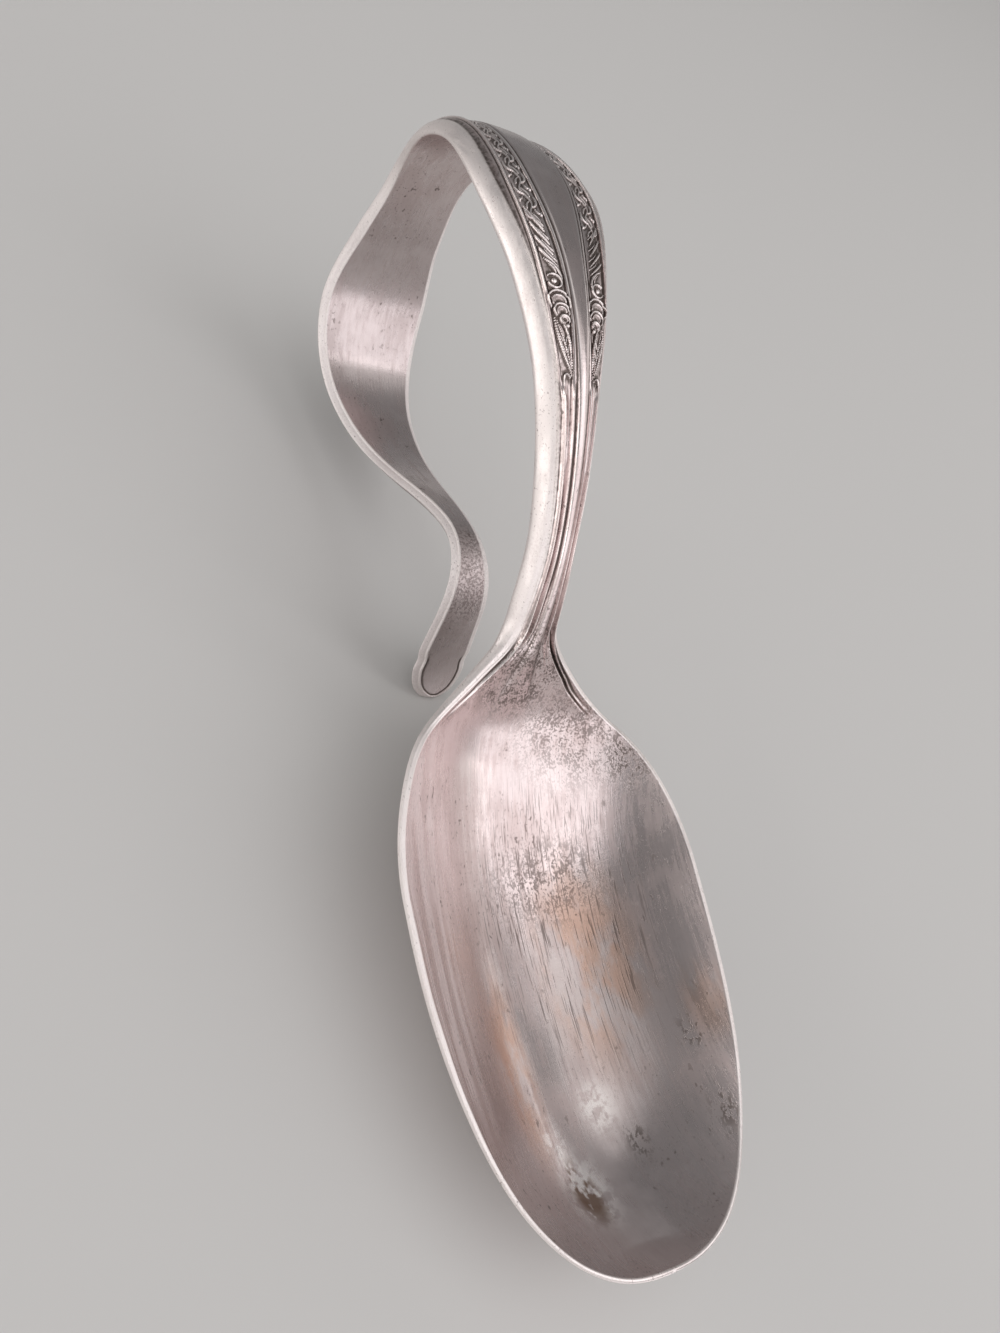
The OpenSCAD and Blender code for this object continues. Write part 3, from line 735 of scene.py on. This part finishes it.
# Quads between neighbouring rings, and triangles where two corners of a quad are one point
def wallFaces(number):
    turned = np.roll(number, -1, axis=1)
    quads = np.stack([number[:-1], turned[:-1], turned[1:], number[1:]], -1).reshape(-1, 4)
    repeats = np.stack([quads[:, k] == quads[:, (k + 1) % 4] for k in range(4)])
    groups = [quads[~repeats.any(0)]]
    for k in range(4):
        single = repeats[k] & (repeats.sum(0) == 1)
        groups.append(quads[single][:, [j for j in range(4) if j != k]])
    return groups


# Cap of an open ring: bands from the decorated face down to the plain one, and one at each side
def capFaces(ring, turn):
    face, under = ring[:faceCount], ring[plainColumns][::-1]
    bands = [np.r_[face[plainPick[i]:plainPick[i + 1] + 1], under[i + 1], under[i]]
             for i in range(len(plainPick) - 1)]
    bands.append(np.r_[face[-1], ring[faceCount:plainColumns.start], under[-1]])
    bands.append(np.r_[under[0], ring[plainColumns.stop:], face[0]])
    return [band[::turn][None] for band in bands]


# A run of rings as one closed mesh: faces between rings, and a cap or a pole at each end
def meshFrom(name, rows, poleFirst=False, poleLast=False):
    number = numberedPoints(len(standing[rows]), poleFirst, poleLast)
    groups = wallFaces(number)
    for row, pole, turn in ((0, poleFirst, -1), (-1, poleLast, 1)):
        if not pole:
            groups += capFaces(number[row], turn)
    sizes = np.concatenate([np.full(len(group), group.shape[1]) for group in groups])
    used, corners = np.unique(np.concatenate([group.ravel() for group in groups]), return_inverse=True)
    mesh = bpy.data.meshes.new(name)
    mesh.vertices.add(len(used))
    mesh.vertices.foreach_set("co", standing[rows].reshape(-1, 3)[used].ravel())
    mesh.loops.add(len(corners))
    mesh.loops.foreach_set("vertex_index", corners.astype(np.int32))
    mesh.polygons.add(len(sizes))
    mesh.polygons.foreach_set("loop_start", np.r_[0, np.cumsum(sizes)[:-1]].astype(np.int32))
    mesh.polygons.foreach_set("use_smooth", np.ones(len(sizes), bool))
    mesh.update(calc_edges=True)
    mesh.normals_split_custom_set_from_vertices(normals[rows].reshape(-1, 3)[used])
    for key, values in (("hollow", hollow[rows]), ("edgeWearAndHighlight", edgeWearAndHighlight[rows])):
        layer = mesh.attributes.new(key, "FLOAT", "POINT")
        layer.data.foreach_set("value", values.ravel()[used].astype(np.float32))
    piece = bpy.data.objects.new(name, mesh)
    bpy.context.scene.collection.objects.link(piece)
    return piece


# Worn silver plate. Colours are what the metal reflects where it is clean, hazed, dulled or worn, and
# painted shade, painted reflections and painted highlights
silverShape = dict(
    clean=(0.67, 0.587, 0.577), hazed=(0.56, 0.462, 0.448), tarnish=(0.085, 0.066, 0.056),
    brown=(0.20, 0.12, 0.08), copper=(0.64, 0.43, 0.345), hazeAndPaintedLight=(0.80, 0.71, 0.70),
    paintedDarkReflection=(0.32, 0.29, 0.29), purple=(0.22, 0.19, 0.22), brightWearAndHighlight=(0.92, 0.865, 0.845),
    roughness=0.22, hazeRoughness=0.34, tarnishRoughness=0.5, curlRoughness=0.16, edgeRoughness=0.2,
    bumpStrength=0.35, bumpDepth=0.00003)

# How much of each coat shows where it is at its strongest: over the plate, and within the tarnish
coatShares = dict(copper=0.9, paintedDarkReflection=0.85, purple=0.65, hazeAndPaintedLight=1.0, brightWearAndHighlight=0.75, tarnish=0.9, brown=0.9,
                  crests=0.65)
tarnishShares = dict(specks=0.6, patches=0.92, clusters=0.8, pits=0.7, darkLines=0.75, curl=0.45)

# Where the marks of use, and the painted shade, reflections and highlights, lie, in metres: middle, reach,
# soft share of the reach, strength
markPlaces = dict(
    copperMiddle=((0.0235, 0.0060, 0.002), (0.0115, 0.0062, 0.009), 0.75, 1),
    copperLeft=((0.030, -0.0038, 0.001), (0.010, 0.0026, 0.006), 0.8, 1),
    copperRight=((0.0295, 0.0122, 0.0075), (0.0045, 0.0025, 0.004), 0.8, 1),
    # painted shade and dark reflections: the bowl's far end and right wall, the handle's plain panel and
    # the loop
    farEndDarkReflection=((0.0405, 0.006, 0.006), (0.0085, 0.011, 0.010), 0.6, 1),
    rightWallDarkReflection=((0.022, 0.0125, 0.008), (0.022, 0.0055, 0.012), 0.7, 0.6),
    panelDarkReflection=((-0.030, 0.0, 0.037), (0.020, 0.0042, 0.010), 0.5, 0.7),
    loopDarkReflection=((-0.028, 0.0, 0.010), (0.034, 0.020, 0.022), 0.4, 0.5),
    loopBase=((-0.0365, 0.001, 0.0018), (0.0065, 0.006, 0.0045), 0.4, 1),
    # painted light: the bowl's left wall made paler, partly its haze and partly the light it reflects
    leftWallHazeAndLight=((0.018, -0.0115, 0.0065), (0.024, 0.0075, 0.013), 0.6, 1),
    farEndHaze=((0.0405, 0.0, 0.006), (0.009, 0.016, 0.012), 0.5, 0.3),
    loopSides=((-0.030, 0.0, 0.010), (0.036, 0.020, 0.022), 0.35, 0.75),
    # painted reflections: two bright patches low in the bowl
    reflectionPatchRight=((0.0345, 0.0027, 0.001), (0.0028, 0.0022, 0.004), 0.8, 1),
    reflectionPatchLeft=((0.0362, -0.0022, 0.001), (0.0026, 0.0016, 0.004), 0.8, 1),
    neckPatch=((0.0018, 0.0, 0.0142), (0.0050, 0.0060, 0.0070), 0.6, 1),
    shoulderPatch=((0.0085, 0.0108, 0.0112), (0.0042, 0.0030, 0.005), 0.7, 1),
    upperPatch=((0.0055, 0.0065, 0.0112), (0.0075, 0.0085, 0.009), 0.8, 0.75),
    middlePatch=((0.0165, 0.0035, 0.0035), (0.0055, 0.0085, 0.006), 0.8, 0.8),
    clusterFar=((0.0378, 0.0047, 0.0022), (0.0022, 0.0013, 0.003), 0.8, 1),
    clusterRight=((0.0315, 0.0108, 0.0059), (0.0022, 0.0016, 0.003), 0.8, 1),
    clusterFarRight=((0.0376, 0.0104, 0.0067), (0.0028, 0.0012, 0.003), 0.8, 1),
    scratched=((0.020, 0.004, 0.003), (0.016, 0.011, 0.012), 0.6, 1),
    curl=((-0.0099, -0.0007, 0.0120), (0.0060, 0.006, 0.0062), 0.5, 1),
    # painted highlight round the brown spot
    spotHighlight=((0.0398, -0.0014, 0.0023), (0.0044, 0.0030, 0.005), 0.8, 1),
    brownSpot=((0.0399, -0.0016, 0.0023), (0.0034, 0.0016, 0.004), 0.6, 1))

# Patterns of the marks. Show is the range of the noise over which the mark comes in, and what that
# range becomes where it isn't 0 to 1. A noise with scale 1 is sized by its stretch alone
usualNoise = dict(stretch=(1, 1, 1), detail=3.0, rough=0.6, turn=(0, 0, 0), shift=(0, 0, 0))
noiseShape = dict(
    cloudy=dict(scale=170, detail=4.0, show=(0.40, 0.60)),
    grainy=dict(scale=2600, detail=2.0, rough=0.7),
    streaks=dict(scale=1, stretch=(90, 2600, 500), rough=0.65),
    fineStreaks=dict(scale=1, stretch=(220, 9000, 1500), detail=2.0),
    crossStreaks=dict(scale=1, stretch=(7000, 160, 500), detail=2.0, turn=(0, 0, 0.4)),
    copperBlotch=dict(scale=380, stretch=(0.5, 1, 1), detail=4.0, show=(0.36, 0.58)),
    mottling=dict(scale=420, shift=(5, 5, 5), show=(0.48, 0.54)),
    hazeAndLightBands=dict(scale=1, stretch=(40, 900, 300), show=(0.38, 0.6, 0.55, 1.0)),
    reflectionFlecks=dict(scale=900, detail=4.0, rough=0.7, shift=(6, 1, 0), show=(0.42, 0.56)),
    fineSpeck=dict(scale=5200, stretch=(0.6, 1, 1), rough=0.75, shift=(1, 5, 2), show=(0.60, 0.66)),
    blotch=dict(scale=800, rough=0.65, shift=(4, 2, 2), show=(0.40, 0.55)),
    clusterFlecks=dict(scale=1900, stretch=(0.6, 1, 1), rough=0.7, shift=(2, 8, 1), show=(0.50, 0.56)),
    pits=dict(scale=1700, stretch=(0.6, 1, 1), detail=2.0, shift=(9, 3, 4), show=(0.66, 0.70)),
    darkLines=dict(scale=1, stretch=(170, 6500, 900), detail=2.0, rough=0.5, turn=(0, 0, 0.05),
                   show=(0.60, 0.66)),
    crossedLines=dict(scale=1, stretch=(300, 9000, 900), detail=2.0, rough=0.5, turn=(0, 0, -0.09),
                      shift=(3, 3, 3), show=(0.60, 0.67)),
    curlSpeck=dict(scale=3900, detail=2.0, rough=0.7, shift=(7, 7, 1), show=(0.46, 0.58)),
    brownBlotch=dict(scale=620, stretch=(0.6, 1, 1), shift=(2, 2, 9), show=(0.40, 0.47)))

# Mixes of patterns: the shares, and the range over which a mix comes in. Hollows starts with the
# grain's middle and share, nicks ends with its share, the painted dark reflection and crests are ranges
# alone, and etched is what tarnish and the specks on the curl take from the height
mixShape = dict(
    haze=((0.7, 0.5), (0.45, 0.78)), darkReflectionRange=(0.25, 0.6, 0.6, 1.0), hollows=(0.5, 0.9, (0.10, 0.7)),
    spotted=((0.75, 0.35), (0.55, 0.59)), crests=(0.15, 0.9), nicks=((0.60, 0.68), 0.7),
    edges=((0.5, 0.5), (0.36, 0.54, 0.5, 0.85)), paleScatter=0.5,
    scratches=(0.6, 0.25), grain=0.5, etched=(0.7, 1.6))


class NodeDesk:
    # short names for the few node kinds that the finish is mixed from; what has a name is made once
    def __init__(self, material):
        self.tree, self.made = material.node_tree, {}
        self.place = self.node("ShaderNodeTexCoord").outputs["Object"]

    def node(self, kind, inputs=None, **settings):
        made = self.tree.nodes.new(kind)
        for key, value in settings.items():
            setattr(made, key, value)
        for key, value in (inputs or {}).items():
            self.feed(made.inputs[key], value)
        return made

    def feed(self, socket, value):
        if hasattr(value, "is_output"):
            self.tree.links.new(value, socket)
        else:
            socket.default_value = value

    def attribute(self, name):
        if name not in self.made:
            self.made[name] = self.node("ShaderNodeAttribute", attribute_name=name).outputs["Fac"]
        return self.made[name]

    def noise(self, name):
        if name not in self.made:
            shape = {**usualNoise, **noiseShape[name]}
            mapping = self.node("ShaderNodeMapping", dict(
                Vector=self.place, Scale=shape["stretch"], Rotation=shape["turn"], Location=shape["shift"]))
            texture = self.node("ShaderNodeTexNoise", dict(
                Vector=mapping.outputs["Vector"], Scale=shape["scale"], Detail=shape["detail"],
                Roughness=shape["rough"]))
            self.made[name] = texture.outputs["Fac"]
        return self.made[name]

    def pattern(self, name):
        return self.ramp(self.noise(name), *noiseShape[name]["show"])

    def ramp(self, value, low, high, toLow=0.0, toHigh=1.0):
        made = self.node("ShaderNodeMapRange", {
            "Value": value, "From Min": low, "From Max": high, "To Min": toLow, "To Max": toHigh},
            interpolation_type="SMOOTHSTEP")
        return made.outputs["Result"]

    def maths(self, operation, a, b):
        return self.node("ShaderNodeMath", {0: a, 1: b}, operation=operation).outputs["Value"]

    def times(self, a, b):
        return self.maths("MULTIPLY", a, b)

    def plus(self, a, b):
        return self.maths("ADD", a, b)

    def less(self, a, b):
        return self.maths("SUBTRACT", a, b)

    def most(self, first, *others):
        for other in others:
            first = self.maths("MAXIMUM", first, other)
        return first

    def near(self, *names):
        # the most of some named places: each 1 inside an ellipsoid, falling to 0 over the soft share
        # of it, times its strength
        for name in names:
            if name not in self.made:
                centre, reach, soft, strength = markPlaces[name]
                mapping = self.node("ShaderNodeMapping", dict(
                    Vector=self.place, Scale=tuple(1 / r for r in reach),
                    Location=tuple(-c / r for c, r in zip(centre, reach))))
                away = self.node("ShaderNodeVectorMath", {0: mapping.outputs["Vector"]}, operation="LENGTH")
                inside = self.ramp(away.outputs["Value"], 1.0, 1.0 - soft)
                self.made[name] = inside if strength == 1 else self.times(inside, strength)
        return self.most(*(self.made[name] for name in names))

    def blend(self, share, a, b):
        a, b = ((*colour, 1) if isinstance(colour, tuple) else colour for colour in (a, b))
        made = self.node("ShaderNodeMix", dict(Factor=share, A=a, B=b), data_type="RGBA")
        return made.outputs["Result"]


# Haze: clouds and streaks along the length
def hazeShare(desk):
    (clouds, streaks), show = mixShape["haze"]
    mixed = desk.plus(desk.times(desk.noise("cloudy"), clouds), desk.times(desk.noise("streaks"), streaks))
    return desk.ramp(mixed, *show)


# Painted shade and dark reflections, in a cloudy pattern, over the bowl's far end and right wall, the
# handle's plain panel and the loop
def paintedDarkReflectionShare(desk):
    return desk.times(desk.near("farEndDarkReflection", "rightWallDarkReflection", "panelDarkReflection", "loopDarkReflection"),
                      desk.ramp(desk.noise("cloudy"), *mixShape["darkReflectionRange"]))


# Tarnish: the most of what lies in the relief's hollows, specks under the clouds, spotted patches near
# the neck and shoulder, clusters near the far end, pits, dark lines, and specks on the curl
def tarnishShare(desk):
    grainMiddle, grainShare, show = mixShape["hollows"]
    grain = desk.times(desk.less(desk.noise("grainy"), grainMiddle), grainShare)
    inHollows = desk.ramp(desk.plus(desk.attribute("hollow"), grain), *show)
    (fine, coarse), show = mixShape["spotted"]
    spotted = desk.ramp(desk.plus(desk.times(desk.noise("fineSpeck"), fine),
                                  desk.times(desk.noise("blotch"), coarse)), *show)
    marks = dict(
        specks=desk.times(desk.pattern("fineSpeck"), desk.pattern("cloudy")),
        patches=desk.times(desk.near("neckPatch", "shoulderPatch", "upperPatch", "middlePatch"), spotted),
        clusters=desk.times(desk.near("clusterFar", "clusterRight", "clusterFarRight"),
                            desk.pattern("clusterFlecks")),
        pits=desk.times(desk.pattern("pits"), desk.pattern("cloudy")),
        darkLines=desk.times(desk.most(desk.pattern("darkLines"), desk.pattern("crossedLines")),
                             desk.near("scratched")),
        curl=desk.times(desk.near("curl"), desk.pattern("curlSpeck")))
    return desk.most(inHollows, *(desk.times(mark, tarnishShares[name]) for name, mark in marks.items()))


# Rubbed metal and painted highlight: the crests of the relief, rubbed bright, and the edges and side
# walls, partly rubbed and partly painted highlight, nicked by the specks and uneven along them
def rubbedAndHighlightShare(desk):
    crests = desk.times(desk.ramp(desk.times(desk.attribute("hollow"), -1.0), *mixShape["crests"]),
                        coatShares["crests"])
    nickShow, nickShare = mixShape["nicks"]
    nicks = desk.times(desk.ramp(desk.noise("fineSpeck"), *nickShow), nickShare)
    (clouds, specks), show = mixShape["edges"]
    uneven = desk.plus(desk.times(desk.noise("cloudy"), clouds),
                       desk.times(desk.noise("fineSpeck"), specks))
    edges = desk.times(desk.less(desk.attribute("edgeWearAndHighlight"), nicks), desk.ramp(uneven, *show))
    return desk.most(crests, edges)


# Height of the surface: scratches and grain, less what tarnish and the specks on the curl have eaten
def surfaceHeight(desk, tarnished):
    (along, crosswise), (dulled, speckled) = mixShape["scratches"], mixShape["etched"]
    scratches = desk.plus(desk.times(desk.noise("fineStreaks"), along),
                          desk.times(desk.noise("crossStreaks"), crosswise))
    raised = desk.plus(scratches, desk.times(desk.noise("grainy"), mixShape["grain"]))
    curlSpecks = desk.times(desk.near("curl"), desk.pattern("curlSpeck"))
    return desk.less(raised, desk.plus(desk.times(tarnished, dulled), desk.times(curlSpecks, speckled)))


# The plate with its coats one over the other, each by its share, painted shade, reflections and highlights
# among them, and its gloss and scratches
def wornSilver():
    material = bpy.data.materials.new("wornSilver")
    material.use_nodes = True
    shader = material.node_tree.nodes["Principled BSDF"]
    desk = NodeDesk(material)
    haze, tarnished = hazeShare(desk), tarnishShare(desk)
    # painted light: the bowl's left wall made paler, partly its haze and partly the light it reflects
    leftWallHazeAndPaintedLight = desk.times(desk.near("leftWallHazeAndLight"), desk.pattern("hazeAndLightBands"))
    brownSpot = desk.times(desk.near("brownSpot"), desk.pattern("brownBlotch"))
    colour = desk.blend(haze, silverShape["clean"], silverShape["hazed"])
    coats = [
        ("copper", desk.times(desk.near("copperMiddle", "copperLeft", "copperRight"),
                              desk.pattern("copperBlotch"))),
        # painted shade and dark reflections over the bowl's far end and right wall, the plain panel and the
        # loop
        ("paintedDarkReflection", paintedDarkReflectionShare(desk)),
        ("purple", desk.times(desk.near("loopBase"), desk.pattern("mottling"))),
        ("hazeAndPaintedLight", leftWallHazeAndPaintedLight),
        # painted reflections: bright flecked patches low in the bowl
        ("brightWearAndHighlight", desk.times(desk.near("reflectionPatchRight", "reflectionPatchLeft"), desk.pattern("reflectionFlecks"))),
        ("tarnish", tarnished)]
    for name, share in coats:
        colour = desk.blend(desk.times(share, coatShares[name]), colour, silverShape[name])
    # a brown spot with a painted highlight round it, and over all the rubbed crests and the edges and side
    # walls painted bright, partly wear and partly painted highlight
    spotHighlightShare = desk.times(desk.near("spotHighlight"), desk.pattern("blotch"))
    colour = desk.blend(spotHighlightShare, colour, silverShape["brightWearAndHighlight"])
    colour = desk.blend(desk.times(brownSpot, coatShares["brown"]), colour, silverShape["brown"])
    colour = desk.blend(rubbedAndHighlightShare(desk), colour, silverShape["brightWearAndHighlight"])
    desk.feed(shader.inputs["Base Color"], colour)

    # the haze and painted light on the left wall, the haze at the far end, and the rubbed sides of the
    # loop, scatter light
    scatter = desk.most(desk.times(leftWallHazeAndPaintedLight, mixShape["paleScatter"]), desk.near("farEndHaze"),
                        desk.times(desk.attribute("edgeWearAndHighlight"), desk.near("loopSides")))
    desk.feed(shader.inputs["Metallic"], desk.less(1.0, scatter))

    roughness = desk.ramp(haze, 0, 1, silverShape["roughness"], silverShape["hazeRoughness"])
    more = silverShape["tarnishRoughness"] - silverShape["hazeRoughness"]
    roughness = desk.plus(roughness, desk.times(desk.most(tarnished, brownSpot), more))
    rubbed = desk.most(desk.times(desk.near("curl"), silverShape["curlRoughness"]),
                       desk.times(desk.attribute("edgeWearAndHighlight"), silverShape["edgeRoughness"]))
    desk.feed(shader.inputs["Roughness"], desk.plus(roughness, rubbed))

    scratched = desk.node("ShaderNodeBump", dict(
        Strength=silverShape["bumpStrength"], Distance=silverShape["bumpDepth"],
        Height=surfaceHeight(desk, tarnished)))
    desk.feed(shader.inputs["Normal"], scratched.outputs["Normal"])
    return material


silver = wornSilver()
pieces = [meshFrom("bowlOfSpoon", slice(0, bowlCount + 1), poleFirst=True)]
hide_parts("bowl")
for name, node, first, last in runs:
    rows = slice(bowlCount + first, bowlCount + last + 1)
    piece = meshFrom(name + "OfHandle", rows, poleLast=(name == "tip"))
    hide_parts(node)
    pieces.append(piece)
for piece in pieces:
    piece.data.materials.append(silver)
    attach(piece, "root")
    print(piece.name, sum(len(p.vertices) - 2 for p in piece.data.polygons), "triangles")

floorShape = dict(reach=5.0, colour=(0.6, 0.595, 0.582), roughness=0.9, specular=0.1)


# A flat square
def layFloor():
    reach = floorShape["reach"]
    corners = [(-reach, -reach, 0), (reach, -reach, 0), (reach, reach, 0), (-reach, reach, 0)]
    mesh = bpy.data.meshes.new("floor")
    mesh.from_pydata(corners, [], [(0, 1, 2, 3)])
    floor = bpy.data.objects.new("floor", mesh)
    bpy.context.scene.collection.objects.link(floor)
    material = bpy.data.materials.new("paleFloor")
    material.use_nodes = True
    shader = material.node_tree.nodes["Principled BSDF"]
    shader.inputs["Base Color"].default_value = (*floorShape["colour"], 1)
    shader.inputs["Roughness"].default_value = floorShape["roughness"]
    shader.inputs["Specular IOR Level"].default_value = floorShape["specular"]
    mesh.materials.append(material)


layFloor()

# The camera looks down over the bowl's right edge, with the spoon's length running up the picture.
# Its position is in millimetres
cameraShape = dict(position=(37.821, -51.398, 74.435), right=(0.30513, 0.82001, 0.48423),
                   up=(-0.85223, 0.00822, 0.52311), pictureHeight=1333, focalPixels=1050,
                   sensorHeight=36, nearestSeen=0.005)


# The lens is the focal length in pixels times the sensor's height over the picture's
def setCamera():
    data = bpy.data.cameras.new("camera")
    data.sensor_fit = "VERTICAL"
    data.sensor_height = cameraShape["sensorHeight"]
    data.lens = cameraShape["sensorHeight"] * cameraShape["focalPixels"] / cameraShape["pictureHeight"]
    data.clip_start = cameraShape["nearestSeen"]
    right, up = Vector(cameraShape["right"]).normalized(), Vector(cameraShape["up"])
    back = right.cross(up).normalized()
    turn = Matrix((right, back.cross(right), back)).transposed().to_4x4()
    camera = bpy.data.objects.new("camera", data)
    camera.matrix_world = Matrix.Translation(Vector(cameraShape["position"]) * metre) @ turn
    bpy.context.scene.collection.objects.link(camera)
    bpy.context.scene.camera = camera


setCamera()

# Soft panels: direction (azimuth from the bowl's tip, height) in degrees, distance and size in metres,
# and the brightness of the panel's face, where 1 is white
lampShape = dict(
    window=dict(toward=(10, 40), distance=1.0, size=(1.84, 1.46), level=1.22, colour=(1.0, 0.965, 0.985)),
    ceiling=dict(toward=(110, 80), distance=1.2, size=(0.9, 0.9), level=0.28, colour=(1.0, 0.98, 0.96)),
    wideCeiling=dict(toward=(30, 88), distance=1.25, size=(1.35, 1.35), level=0.28,
                     colour=(1.0, 0.98, 0.96)),
    rightLow=dict(toward=(84, 22), distance=1.1, size=(1.2, 0.7), level=0.7, colour=(1.0, 0.96, 0.94)),
    leftLow=dict(toward=(-92, 12), distance=1.1, size=(2.2, 0.42), level=2.1, colour=(1.0, 0.965, 0.94)))
studioLevel = 0.29


# A panel's power is the brightness of its face times pi times its area
def hangPanel(name, shape):
    data = bpy.data.lights.new(name, "AREA")
    data.shape = "RECTANGLE"
    data.size, data.size_y = shape["size"]
    data.energy = shape["level"] * np.pi * data.size * data.size_y
    data.color = shape["colour"]
    azimuth, height = np.radians(shape["toward"])
    toward = Vector((np.cos(azimuth) * np.cos(height), np.sin(azimuth) * np.cos(height), np.sin(height)))
    position = toward * shape["distance"]
    lamp = bpy.data.objects.new(name, data)
    lamp.matrix_world = Matrix.Translation(position) @ position.to_track_quat("Z", "Y").to_matrix().to_4x4()
    lamp.visible_camera = False
    bpy.context.scene.collection.objects.link(lamp)


for name, shape in lampShape.items():
    hangPanel(name, shape)

studio = bpy.data.worlds.new("studio")
studio.use_nodes = True
background = studio.node_tree.nodes["Background"]
background.inputs["Color"].default_value = (studioLevel, studioLevel, studioLevel, 1)
bpy.context.scene.world = studio
bpy.context.scene.view_settings.view_transform = "Standard"
print("floor, camera and lamps set")
